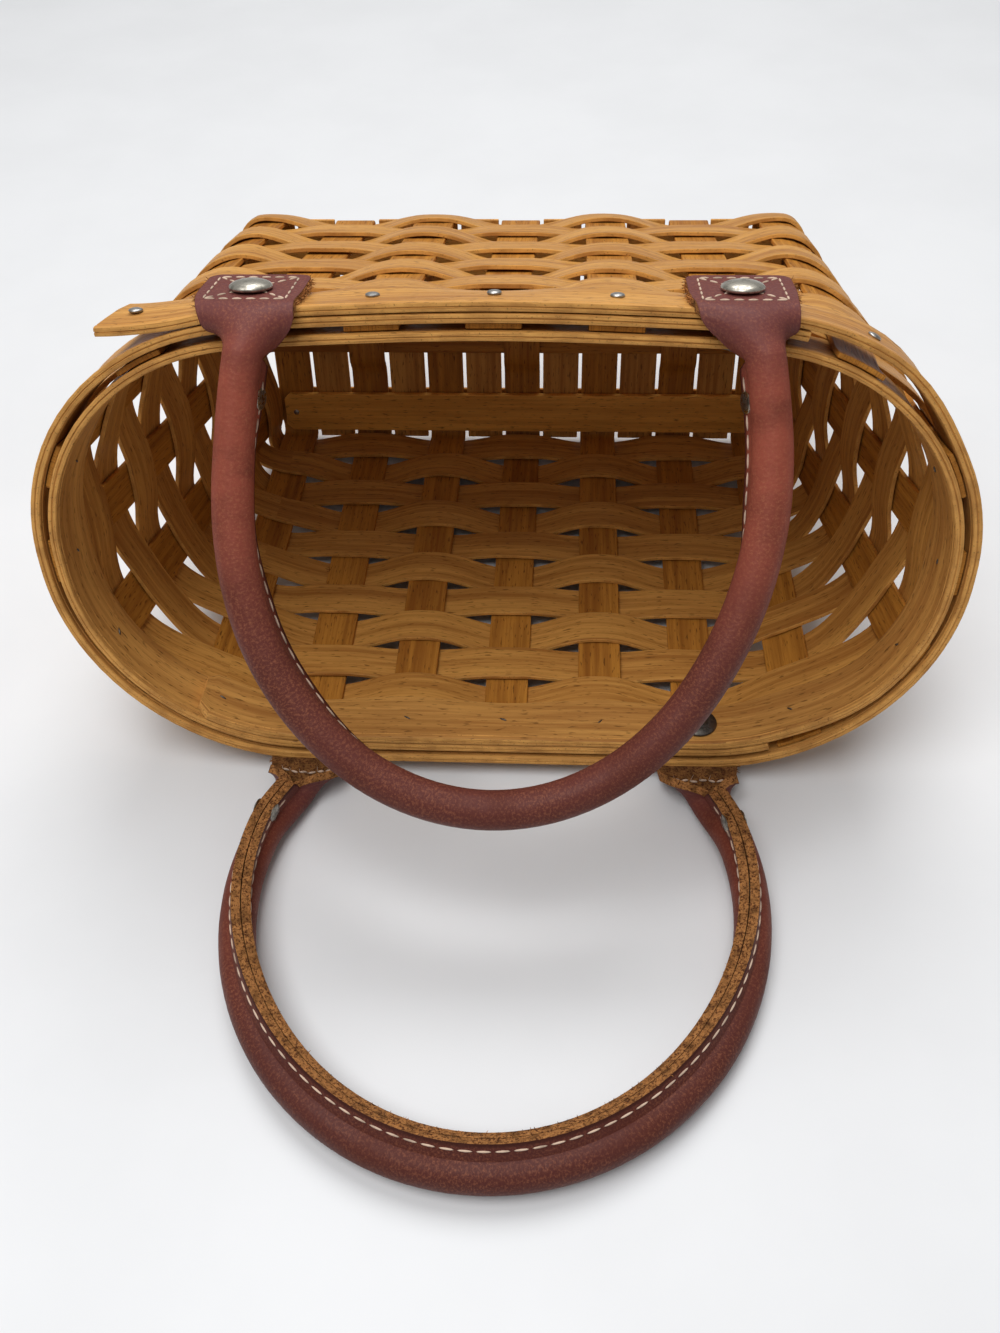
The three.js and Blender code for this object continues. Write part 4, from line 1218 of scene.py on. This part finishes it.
class BASKET_OT_tacks(bpy.types.Operator):
    """Drive the rim tacks at every upright that has no rivet, and the floor bars' tacks"""

    bl_idname = "basket.tacks"
    bl_label = "Drive the tacks"

    def execute(self, context):
        wall = Wall()
        head = tack_profile(settings().leather)
        steel = worn_metal("dull_tack_steel", settings().colours.steel, 0.34, 0.5)
        self.rim_tacks(wall, head, steel)
        self.clinches(wall)
        self.bar_tacks(wall, head, steel)
        return {"FINISHED"}

    def rim_tacks(self, wall, head, steel):
        """A tack at each upright without a rivet: those that are CAD nodes stay pieces of their own."""
        s = wall.sizes
        between = range(1 - RIVET_UPRIGHT, RIVET_UPRIGHT)
        along = [k for k in range(-SIDE_REACH, SIDE_REACH + 1) if abs(k) != RIVET_UPRIGHT]
        named = {lower_number(k): f"rim_tack_lower_{i}" for i, k in enumerate(between, 1)}
        named.update({upper_number(k): f"rim_tack_upper_{i}" for i, k in enumerate(along, 1)})
        plain = []
        for number in TACKED:
            point, normal = wall.rim_site(number)
            lapped = upper_number(SIDE_REACH) <= number <= upper_number(-SIDE_REACH)
            if number == upper_number(-SIDE_REACH):
                beside, normal = wall.rim_site(number - 1)
                point.y = beside.y - s.tail_droop * self.tail_share(wall, beside.x, point.x)
            foot = point + normal * (outer_face(wall, lapped) + s.clearance)
            place = stand_on(foot, wall.square_out(normal))
            if number in named:
                piece = turned_piece(f"{named[number]}_head", [(head, place)], steel, TACK_STEPS)
                seat(piece, "basket", "steel", named[number])
            else:
                plain.append((head, place))
        seat(turned_piece("rim_tacks_round_the_ends", plain, steel, TACK_STEPS), "basket", "steel")

    def tail_share(self, wall, start, x):
        """How far a place on the loose end has bent in, as a share of its droop."""
        end = SIDE_REACH * wall.pitch + wall.sizes.lap_tail
        return smooth(0, 1, (abs(x) - abs(start)) / (end - abs(start)))

    def clinches(self, wall):
        """The tacks' points, turned over on the inner band."""
        lie = basket_frame()
        chance = random.Random(CLINCH_SEED)
        up = Vector((0, 0, 1))
        mesh = bmesh.new()
        for number in TACKED:
            lapped = number <= lower_number(SIDE_REACH)
            point, normal = wall.rim_site(number)
            middle = point + normal * (inner_face(wall, lapped) - CLINCH_LIFT)
            turn = chance.uniform(-CLINCH_TURN, CLINCH_TURN)
            along = up.cross(normal) * math.cos(turn) + up * math.sin(turn)
            reach = along * chance.uniform(*CLINCH_REACH)
            bead(mesh, lie @ (middle - reach), lie @ (middle + reach), lie.to_3x3() @ -normal, CLINCH_WIDTH)
        seat(finish_mesh("rim_tack_points", mesh, [blackened_nickel()]), "basket", "steel")

    def bar_tacks(self, wall, head, steel):
        """A tack near each end of both floor bars."""
        s = wall.sizes
        x = wall.bar_end - s.bar_tack_inset
        z = wall.bar_z + s.bar_thickness / 2
        up = Vector((0, 0, 1))
        small = [(radius * BAR_TACK_SHARE, height * BAR_TACK_SHARE) for radius, height in head]
        tacks = [(small, stand_on(Vector((i * x, j * wall.bar_y, z)), up)) for i in (-1, 1) for j in (-1, 1)]
        seat(turned_piece("floor_bar_tacks", tacks, steel, TACK_STEPS), "basket", "steel")


# Handles

# How late the leather closes along a neck, and where a tab starts to narrow towards it
NECK_CURL = {"lower": 2.8, "upper": 1.8}
TAPER_FROM = -12 * MM

# Half of the stretch in which a neck bends, the fillet beside the seam, and a seam's step before it rises
NECK_BEND = 4 * MM
SEAM_FILLET = 1 * MM
SEAM_STUB = 0.1 * MM

# Shares of the half section between which a flattened roll turns up
MOUTH_TURN = (0.25, 0.85)

# Shares of the upper loop's reach in which its pinch fades, and its sway comes and goes
PINCH_FADE = (0.14, 0.36)
SWAY_COMES = (-0.06, 0.08)
SWAY_GOES = (0.2, 0.76)

# The upper seam's lean at each neck in degrees, then its turns: two shares of the reach and new degrees
LEFT_LEAN = (12, (0.14, 0.28, 3), (0.42, 0.6, 12))
RIGHT_LEAN = (18, (0.34, 0.52, 4))
BOW_LEAN = (0.74, 1)


class Handle:
    """One rolled leather handle: its hinge, the loop it follows and its section."""

    def __init__(self, side):
        wall = Wall()
        s = settings().leather
        self.side = side
        self.sizes = s
        self.wall = wall
        upper = side == "upper"
        self.spread = s.upper_spread if upper else s.lower_spread
        self.reach = s.upper_reach if upper else s.lower_reach
        self.full_lean = s.upper_lean if upper else s.lower_lean
        self.neck_end = s.upper_neck if upper else s.lower_neck
        self.round_from = s.upper_neck if upper else s.lower_mouth
        self.pinch = s.upper_pinch if upper else 0
        self.curl = NECK_CURL[side]
        self.flip = -1 if upper else 1
        number = upper_number if upper else lower_number
        point, normal = wall.rim_site(number(RIVET_UPRIGHT))
        root = point + normal * (outer_face(wall, upper) + wall.sizes.clearance + s.thickness / 2)
        self.neck_x = root.x
        self.tab_low = wall.band_low - s.tab_overhang
        self.tab_tilt = -math.atan(wall.slope) / 2 if upper else 0
        high = wall.rim_z + s.tab_rise + wall.sizes.clearance + s.thickness / 2
        self.hinge = Vector((0, root.y - math.tan(self.tab_tilt) * (high - wall.band_z), high))
        up = basket_frame().to_3x3() @ Vector((0, 0, 1))
        lying_tilt = math.atan2(up.z, -up.y)
        self.swing = lying_tilt + (math.pi / 2 - s.upper_hang if upper else 0)
        self.bend = NECK_BEND
        self.roll = s.core / 2 + wall.sizes.clearance + s.thickness / 2
        self.seam_side = (s.seam_slit + s.thickness) / 2
        self.seam_top = math.sqrt(self.roll ** 2 - self.seam_side ** 2) + s.seam_width
        self.fillet = SEAM_FILLET
        self.turn = math.pi - math.asin((self.seam_side + self.fillet) / (self.roll + self.fillet))
        fillet_top = math.sqrt((self.roll + self.fillet) ** 2 - (self.seam_side + self.fillet) ** 2)
        self.seam_run = self.seam_top - fillet_top
        self.roll_run = self.roll * self.turn + self.fillet * (self.turn - math.pi / 2)
        self.strip_width = 2 * (self.roll_run + self.seam_run)

    def spine(self, r):
        """Point of the middle line in the basket's frame at x 0, its run, and the way to the seam."""
        turn = self.swing - self.tab_tilt
        turned = turn * min(max((r + self.bend) / (2 * self.bend), 0), 1)
        tilt = self.tab_tilt + turned
        up = Vector((0, -math.sin(tilt), math.cos(tilt)))
        seam = Vector((0, math.cos(tilt), math.sin(tilt))) * self.flip
        tab = Vector((0, -math.sin(self.tab_tilt), math.cos(self.tab_tilt)))
        if r <= -self.bend:
            return self.hinge + tab * r, up, seam
        if r >= self.bend:
            return self.hinge + up * r, up, seam
        bow = self.bend / math.tan(turn / 2)
        side = Vector((0, -tab.z, tab.y))
        point = self.hinge + side * bow * (1 - math.cos(turned))
        return point + tab * (bow * math.sin(turned) - self.bend), up, seam

    def stations(self):
        """Places along the leather from one tab's end to the other's: (x, r, heading in the loop)."""
        s = self.sizes
        low = self.tab_low - self.hinge.z
        corner = s.tab_corner
        tab = [low + corner * (1 - math.cos(turn)) for turn in spread_out(0, math.pi / 2, TURN_STEPS)]
        tab += spread_out(low + corner, -self.bend, TAB_STEPS)[1:]
        tab += spread_out(-self.bend, 0, TURN_STEPS)[1:-1]
        places = [(self.neck_x, r, 0.0) for r in tab]
        for r in spread_out(0, s.leg, LEG_STEPS)[:-1]:
            back = 1 - r / s.leg
            slope = 2 * (self.spread - self.neck_x) * back / s.leg
            heading = -math.atan(slope) * smooth(0, self.neck_end + self.bend, r)
            places.append((self.spread - (self.spread - self.neck_x) * back * back, r, heading))
        rise = self.reach - s.leg
        for turn in spread_out(0, math.pi / 2, BOW_STEPS):
            x = self.spread * math.cos(turn)
            heading = math.atan2(self.spread * math.sin(turn), rise * math.cos(turn))
            places.append((x, s.leg + rise * math.sin(turn), heading))
        far = [(-x, r, math.pi - heading) for x, r, heading in places[:-1]]
        return places + far[::-1]

    def width(self, r):
        """Half width of the flat leather at a tab or neck, before it rolls up."""
        s = self.sizes
        low = self.tab_low - self.hinge.z
        past = max(s.tab_corner - (r - low), 0)
        cut = s.tab_corner - math.sqrt(max(s.tab_corner ** 2 - past ** 2, 0))
        return lerp(s.tab_width, s.neck_width, smooth(TAPER_FROM, self.bend, r)) / 2 - cut

    def half_section(self, r):
        """Half of the leather's section from its middle to its sewn edge."""
        s = self.sizes
        share = min(max((r - s.neck_start) / (self.neck_end - s.neck_start), 0), 1) ** self.curl
        flat = 1 - smooth(self.neck_end, self.round_from, r) if self.round_from > self.neck_end else 0
        rolled = lerp((self.width(r) - SEAM_STEPS * SEAM_STUB) / self.roll_run, 1, share)
        sewn = lerp(SEAM_STUB, self.seam_run / SEAM_STEPS, smooth(0, s.seam_ramp, r - self.neck_end))
        spots = self.curled(share, flat, rolled, sewn)
        miss = (self.curled(1, flat, 1, sewn)[-1].x - self.seam_side) * share
        pinch = self.pinch * smooth(0, self.neck_end, r) * (1 - smooth(*PINCH_FADE, r / self.reach))
        for i, spot in enumerate(spots):
            spot.x -= miss * (i / (len(spots) - 1)) ** 2
            spot.x = max(spot.x * (1 - pinch), min(spot.x, self.seam_side))
        return spots

    def curled(self, share, flat, rolled, sewn):
        """The half section rolled up by a share, with its bottom flattened and its runs scaled."""
        back = self.turn - math.pi / 2
        runs = []
        for i in range(ROLL_STEPS):
            part = (i + 0.5) / ROLL_STEPS
            bent = lerp(part, smooth(*MOUTH_TURN, part), flat)
            runs.append((rolled * self.roll * self.turn / ROLL_STEPS, self.turn * bent))
        for i in range(FILLET_STEPS):
            bent = self.turn - (i + 0.5) * back / FILLET_STEPS
            runs.append((rolled * self.fillet * back / FILLET_STEPS, bent))
        runs += [(sewn, math.pi / 2)] * SEAM_STEPS
        spots = [Vector((0, -self.roll * share))]
        for length, heading in runs:
            way = Vector((math.cos(heading * share), math.sin(heading * share)))
            spots.append(spots[-1] + way * length)
        return spots

    def on_leather(self, station, across, lift):
        """A point at a distance across the leather, lifted off its middle towards the suede side."""
        spots = self.half_section(station[1])
        left = abs(across)
        for before, after in zip(spots, spots[1:]):
            run = (after - before).length
            if left <= run:
                break
            left -= run
        way = (after - before).normalized()
        spot = before + way * min(left, run) + Vector((-way.y, way.x)) * lift
        spot.x = math.copysign(1, across) * spot.x
        return self.placed(station, spot)

    def raw_edge(self, station, way, lift):
        """A point on one cut edge, lifted off the leather's middle, and the way that the edge faces."""
        spots = self.half_section(station[1])
        out = (spots[-1] - spots[-2]).normalized()
        spot = spots[-1] + Vector((-out.y, out.x)) * lift
        flip = Vector((way, 1))
        start = self.placed(station, spot * flip)
        return start, (self.placed(station, (spot + out * MM) * flip) - start).normalized()

    def lean(self, station):
        """How far the seam leans towards the inside of the loop."""
        x, r, _ = station
        if self.side == "lower":
            return self.full_lean * smooth(self.neck_end, self.reach, r)
        share = r / self.reach
        degrees, *turns = LEFT_LEAN if self.flip * x < 0 else RIGHT_LEAN
        for start, end, target in turns:
            degrees = lerp(degrees, target, smooth(start, end, share))
        leaning = math.radians(degrees) * smooth(0, self.neck_end, r)
        return lerp(leaning, self.full_lean, smooth(*BOW_LEAN, share))

    def sway(self, r):
        """How far the leather hangs to the right of its middle."""
        if self.side == "lower":
            return 0
        share = r / self.reach
        return self.sizes.upper_sway * smooth(*SWAY_COMES, share) * (1 - smooth(*SWAY_GOES, share))

    def placed(self, station, spot):
        """A point of the section at a station, in the basket's frame."""
        x, r, heading = station
        middle, up, seam = self.spine(r)
        lean = self.lean(station)
        outward = spot.x * math.cos(lean) - spot.y * math.sin(lean)
        inward = spot.x * math.sin(lean) + spot.y * math.cos(lean)
        along_x = x + outward * math.cos(heading)
        along_up = outward * math.sin(heading)
        return middle + Vector((self.flip * along_x + self.sway(r), 0, 0)) + up * along_up + seam * inward

    def strip_length(self):
        """Length of the leather from one tab's end to the other's."""
        line = [self.placed(station, Vector((0, 0))) for station in self.stations()]
        return sum((after - before).length for before, after in zip(line, line[1:]))

    def bend_with(self, piece):
        """Bakes a piece's transform into its mesh."""
        lie = basket_frame()
        end, _, _ = self.spine(self.bend)
        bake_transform(piece)

    def rows(self):
        """Rows of points across the leather along the whole handle."""
        rows = []
        for station in self.stations():
            half = self.half_section(station[1])
            section = [Vector((-spot.x, spot.y)) for spot in half[:0:-1]] + half
            rows.append([self.placed(station, spot) for spot in section[::-1]])
        return rows


class BASKET_OT_handles(bpy.types.Operator):
    """Roll up the leather handles, each one strip from tab to tab"""

    bl_idname = "basket.handles"
    bl_label = "Roll the handles"

    def execute(self, context):
        raw = [raw_leather("suede_side", SUEDE_PAINTED_SHADE), raw_leather("cut_edge", CUT_EDGE_PAINTED_LIGHT)]
        cord = cord_fibre()
        for side in SIDES:
            handle = Handle(side)
            mesh = strip_mesh(place_rows(handle.rows()))
            piece = finish_mesh(f"{side}_handle_leather", mesh, [grain_leather(handle), *raw])
            thicken(piece, handle.sizes.thickness, LEATHER_EDGE, back=1, rim=2, crisp=False)
            handle.bend_with(piece)
            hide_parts(f"tab_{side}_left", f"tab_{side}_right", f"{side}_handle_cover")
            core = frame["nodes"][f"{side}_handle_core"]
            core.data.materials.clear()
            core.data.materials.append(cord)
        return {"FINISHED"}


# Stitching

# Share of a stitch's pitch that is down in the hole at each end
SEAM_HOLE = 0.08
TAB_HOLE = 0.12

# Thickness of the threads, and how far their middles stand off the leather
SEAM_THREAD = 0.52 * MM
TAB_THREAD = 0.54 * MM
NECK_THREAD = 0.7 * MM
SEAM_LIFT = 0.08 * MM
TAB_LIFT = 0.05 * MM
NECK_LIFT = 0.1 * MM

# How far off a face a second point is taken, to find the way out of it
FACE_PROBE = 1 * MM

# The box on a tab: its room above the tab's end, below the rim and inside the tab's sides, and its pitch
BOX_FOOT = 2.6 * MM
BOX_HEAD = 0.2 * MM
BOX_SIDE = 2.7 * MM
BOX_PITCH = 3.1 * MM

# The row across a neck: its stitches, its distance from the hinge, how far it strays and its loose ends
NECK_STITCHES = 6
NECK_ROW = 1.2 * MM
NECK_STRAY = 0.4 * MM
LOOSE_END = (1.0 * MM, 2.6 * MM)
LOOSE_WIDTH = 0.12 * MM


def fibre(mesh, start, way, length, width):
    """One loose fibre: a thin three-sided point."""
    turn = way.to_track_quat("Z", "Y").to_matrix().to_4x4()
    place = Matrix.Translation(start + way * length / 2) @ turn
    bmesh.ops.create_cone(mesh, segments=3, cap_ends=False, radius1=width, radius2=width * 0.2, depth=length,
                          matrix=place)


def seam_stitches(handle, lie):
    """The row of stitches through the sewn edges, seen on both faces."""
    s = handle.sizes
    stations = [station for station in handle.stations() if station[1] >= handle.neck_end + s.seam_ramp]
    side = handle.seam_side + s.thickness / 2
    heights = [handle.half_section(station[1])[-1].y - s.stitch_inset for station in stations]
    mesh = bmesh.new()
    for way in (-1, 1):
        line, above = ([lie @ handle.placed(station, Vector((way * (side + lift), height)))
                        for station, height in zip(stations, heights)]
                       for lift in (SEAM_LIFT, FACE_PROBE))
        travelled = 0.0
        wanted = 0.5 * s.stitch_pitch
        marks = []
        for i in range(len(line) - 1):
            step = (line[i + 1] - line[i]).length
            while wanted <= travelled + step:
                share = (wanted - travelled) / step
                point = line[i].lerp(line[i + 1], share)
                marks.append((point, (above[i].lerp(above[i + 1], share) - point).normalized()))
                wanted += s.stitch_pitch
            travelled += step
        for (start, lift), (end, _) in zip(marks, marks[1:]):
            bead(mesh, start.lerp(end, SEAM_HOLE), start.lerp(end, 1 - SEAM_HOLE), lift, SEAM_THREAD)
    return mesh


def tab_stitches(handle, lie):
    """A box with a cross in it on both tabs."""
    s = handle.sizes
    mesh = bmesh.new()
    low = handle.tab_low + BOX_FOOT - handle.hinge.z
    high = handle.wall.rim_z - BOX_HEAD - handle.hinge.z
    half = s.tab_width / 2 - BOX_SIDE
    corners = [(-half, low), (half, low), (half, high), (-half, high)]
    lines = list(zip(corners, corners[1:] + corners[:1]))
    lines += [(corners[0], corners[2]), (corners[1], corners[3])]
    for end in (-1, 1):
        for (x0, r0), (x1, r1) in lines:
            count = max(round(math.hypot(x1 - x0, r1 - r0) / BOX_PITCH), 1)
            for i in range(count):
                spots = []
                for share in ((i + TAB_HOLE) / count, (i + 1 - TAB_HOLE) / count):
                    middle, _, seam = handle.spine(lerp(r0, r1, share))
                    aside = Vector((end * handle.neck_x + lerp(x0, x1, share), 0, 0))
                    spots.append(lie @ (middle - seam * (s.thickness / 2 + TAB_LIFT) + aside))
                lift = (lie.to_3x3() @ -seam).normalized()
                bead(mesh, *spots, lift, TAB_THREAD)
    return mesh


def neck_stitches(handle, lie, chance):
    """The row through the fold, seen on the suede side of both necks, with loose ends."""
    s = handle.sizes
    mesh = bmesh.new()
    lift = s.thickness / 2 + NECK_LIFT
    for way in (-1, 1):
        for i in range(-NECK_STITCHES // 2, NECK_STITCHES // 2):
            ends = []
            for across in (i + SEAM_HOLE, i + 1 - SEAM_HOLE):
                station = (way * handle.neck_x, NECK_ROW + chance.uniform(-NECK_STRAY, NECK_STRAY), 0)
                ends.append(lie @ handle.on_leather(station, across * s.neck_pitch, lift))
            up = (lie.to_3x3() @ handle.spine(station[1])[2]).normalized()
            bead(mesh, *ends, up, NECK_THREAD)
            stray = Vector([chance.uniform(-1, 1) for _ in range(3)]) + up
            fibre(mesh, ends[0], stray.normalized(), chance.uniform(*LOOSE_END), LOOSE_WIDTH)
    return mesh


class BASKET_OT_stitching(bpy.types.Operator):
    """Sew the handles' seams and tabs"""

    bl_idname = "basket.stitching"
    bl_label = "Sew the handles"

    def execute(self, context):
        lie = basket_frame()
        thread = sewing_thread()
        for side in SIDES:
            handle = Handle(side)
            piece = finish_mesh(f"{side}_handle_seam_thread", seam_stitches(handle, lie), [thread])
            seat(piece, f"{side}_handle", "cord_fibre")
            piece = finish_mesh(f"{side}_tabs_thread", tab_stitches(handle, lie), [thread])
            seat(piece, "basket", "cord_fibre")
            mesh = neck_stitches(handle, lie, random.Random(NECK_SEED))
            piece = finish_mesh(f"{side}_necks_thread", mesh, [thread])
            handle.bend_with(piece)
        return {"FINISHED"}


# Frayed edges

# Fibres for each millimetre of cut edge and the longest of them, on the tabs and along the seams
TAB_FRAY = (9, 1.7 * MM)
SEAM_FRAY = (5, 0.9 * MM)

# A fibre's shortest length as a share of the longest, how far it strays, its root's depth and its width
FRAY_SHORTEST = 0.3
FRAY_STRAY = 0.8
FRAY_ROOT = 0.15 * MM
FRAY_WIDTH = (0.10 * MM, 0.20 * MM)

# Share of the leather's thickness in which fibres grow
FRAY_SPAN = 0.9


def fringe(handle, lie, chance, low, high, per_mm, longest):
    """Loose fibres along the cut edges between two distances from the hinge."""
    mesh = bmesh.new()
    stations = handle.stations()
    half = handle.sizes.thickness / 2
    for before, after in zip(stations, stations[1:]):
        if not low <= (before[1] + after[1]) / 2 <= high:
            continue
        gap = handle.placed(after, Vector((0, 0))) - handle.placed(before, Vector((0, 0)))
        for _ in range(round(gap.length / MM * per_mm + chance.random())):
            share = chance.random()
            station = tuple(lerp(a, b, share) for a, b in zip(before, after))
            way = chance.choice((-1, 1))
            start, out = handle.raw_edge(station, way, chance.uniform(-FRAY_SPAN, FRAY_SPAN) * half)
            stray = Vector([chance.uniform(-FRAY_STRAY, FRAY_STRAY) for _ in range(3)])
            heading = (lie.to_3x3() @ (out + stray)).normalized()
            length = longest * chance.uniform(FRAY_SHORTEST, 1)
            fibre(mesh, lie @ (start - out * FRAY_ROOT), heading, length, chance.uniform(*FRAY_WIDTH))
    return mesh


class BASKET_OT_fringe(bpy.types.Operator):
    """Fray the cut edges of the leather"""

    bl_idname = "basket.fringe"
    bl_label = "Fray the edges"

    def execute(self, context):
        lie = basket_frame()
        chance = random.Random(FRAY_SEED)
        suede = raw_leather("loose_fibres", LOOSE_FIBRE_PAINTED_LIGHT)
        for side in SIDES:
            handle = Handle(side)
            low = handle.tab_low - handle.hinge.z
            tabs = fringe(handle, lie, chance, low, -handle.bend, *TAB_FRAY)
            seat(finish_mesh(f"{side}_tabs_fringe", tabs, [suede]), "basket", "leather")
            start = handle.bend if side == "lower" else handle.neck_end + handle.bend
            seam = fringe(handle, lie, chance, start, handle.reach, *SEAM_FRAY)
            seat(finish_mesh(f"{side}_handle_fringe", seam, [suede]), f"{side}_handle", "leather")
        return {"FINISHED"}


class BASKET_OT_neck_rivets(bpy.types.Operator):
    """Close the seams at the necks with small rivets"""

    bl_idname = "basket.neck_rivets"
    bl_label = "Set the neck rivets"

    def execute(self, context):
        s = settings().leather
        dull = shaded(settings().colours.nickel, NECK_NICKEL_SHADE)
        nickel = worn_metal("dull_neck_nickel", dull, 0.22, 0.4)
        for side in SIDES:
            handle = Handle(side)
            face = handle.seam_side + s.thickness / 2
            head = neck_rivet_profile(s, face)
            stations = handle.stations()
            turn = len(stations) // 2
            for leg in (stations[:turn], stations[turn:]):
                station = min(leg, key=lambda place: abs(place[1] - s.neck_rivet_reach))
                height = handle.half_section(station[1])[-1].y - s.neck_rivet_drop
                middle = handle.placed(station, Vector((0, height)))
                profiles = []
                for way in (-1, 1):
                    foot = handle.placed(station, Vector((way * face, height)))
                    profiles.append((head, stand_on(foot, foot - middle)))
                node = f"{side}_neck_rivet_{'right' if middle.x > 0 else 'left'}"
                piece = turned_piece(f"{node}_head", profiles, nickel, NECK_RIVET_STEPS)
                seat(piece, f"{side}_handle", "dark_nickel", node)
        return {"FINISHED"}


# Stage

# Half of the table's width in metres, and how much darker its clouded places are
TABLE_REACH = 3
TABLE_SHADE = 0.965

# The light from all round, the place that the lamps face, and each lamp's name, place, width and power
WORLD_STRENGTH = 0.265
LAMP_AIM = Vector((0, 0, 0.06))
LAMPS = (
    ("Key", Vector((-0.25, -0.36, 1.15)), 0.8, 8.3),
    ("Top", Vector((0.05, 0.60, 1.2)), 0.9, 9.6),
)

# The camera: its focal length and picture's long side in pixels, its turns in radians and its place
FOCAL = 1238.5303
LONG_SIDE = 1333
PITCH = 0.8372
YAW = -0.0794
ROLL = 0.0407
CAMERA_PLACE = (17.673 * MM, -242.855 * MM, 288.503 * MM)
SENSOR = 36.0
NEAREST = 0.01


class BASKET_OT_stage(bpy.types.Operator):
    """Set out the table, the lights and the camera"""

    bl_idname = "basket.stage"
    bl_label = "Set the stage"

    def execute(self, context):
        self.table()
        self.lights(context.scene)
        self.camera(context.scene)
        context.scene.view_settings.view_transform = "Standard"
        return {"FINISHED"}

    def table(self):
        """A wide pale table with a faint cloud in its finish."""
        mesh = bmesh.new()
        bmesh.ops.create_grid(mesh, x_segments=2, y_segments=2, size=TABLE_REACH)
        n = Nodes("pale_table")
        pale = settings().colours.table
        cloud = n.noise(n.place_map(14), detail=4)
        n.finish(n.mix(n.ramp(cloud, 0.3, 0.7), pale, shaded(pale, TABLE_SHADE)), 0.45, specular=0.3)
        finish_mesh("table", mesh, [n.material], smooth_faces=False)

    def lights(self, scene):
        """White light from all round and two wide lamps."""
        world = bpy.data.worlds.new("Studio")
        scene.world = world
        world.use_nodes = True
        background = world.node_tree.nodes["Background"]
        background.inputs["Color"].default_value = (1, 1, 1, 1)
        background.inputs["Strength"].default_value = WORLD_STRENGTH
        for name, place, width, power in LAMPS:
            lamp = bpy.data.lights.new(name, "AREA")
            lamp.shape = "DISK"
            lamp.size = width
            lamp.energy = power
            item = bpy.data.objects.new(name, lamp)
            item.location = place
            item.rotation_mode = "QUATERNION"
            item.rotation_quaternion = (LAMP_AIM - place).to_track_quat("-Z", "Y")
            scene.collection.objects.link(item)

    def camera(self, scene):
        """The camera that sees the basket as it was photographed."""
        level = Vector((math.cos(YAW), -math.sin(YAW), 0))
        ahead = Vector((math.sin(YAW), math.cos(YAW), 0))
        forward = ahead * math.cos(PITCH) + Vector((0, 0, -math.sin(PITCH)))
        down = forward.cross(level)
        right = level * math.cos(ROLL) + down * math.sin(ROLL)
        up = level * math.sin(ROLL) - down * math.cos(ROLL)
        data = bpy.data.cameras.new("Camera")
        data.sensor_width = SENSOR
        data.lens = FOCAL / LONG_SIDE * SENSOR
        data.clip_start = NEAREST
        item = bpy.data.objects.new("Camera", data)
        turn = Matrix((right, up, -forward)).transposed().to_4x4()
        item.matrix_world = Matrix.Translation(CAMERA_PLACE) @ turn
        scene.collection.objects.link(item)
        scene.camera = item


STEPS = (
    BASKET_OT_stage,
    BASKET_OT_weavers,
    BASKET_OT_uprights,
    BASKET_OT_floor,
    BASKET_OT_rim,
    BASKET_OT_rivets,
    BASKET_OT_tacks,
    BASKET_OT_handles,
    BASKET_OT_stitching,
    BASKET_OT_fringe,
    BASKET_OT_neck_rivets,
)


class BASKET_PT_panel(bpy.types.Panel):
    """Lists the basket's steps in the sidebar"""

    bl_idname = "BASKET_PT_panel"
    bl_label = "Splint basket"
    bl_space_type = "VIEW_3D"
    bl_region_type = "UI"
    bl_category = "Basket"

    def draw(self, context):
        for step in STEPS:
            self.layout.operator(step.bl_idname)


CLASSES = (BasketSizes, LeatherSizes, BasketColours, BasketSettings, *STEPS, BASKET_PT_panel)


def register():
    for item in CLASSES:
        bpy.utils.register_class(item)
    bpy.types.Scene.splint_basket = PointerProperty(type=BasketSettings)


def unregister():
    del bpy.types.Scene.splint_basket
    for item in reversed(CLASSES):
        bpy.utils.unregister_class(item)


def main():
    register()
    for step in STEPS:
        group, name = step.bl_idname.split(".")
        getattr(getattr(bpy.ops, group), name)()


if __name__ == "__main__":
    main()
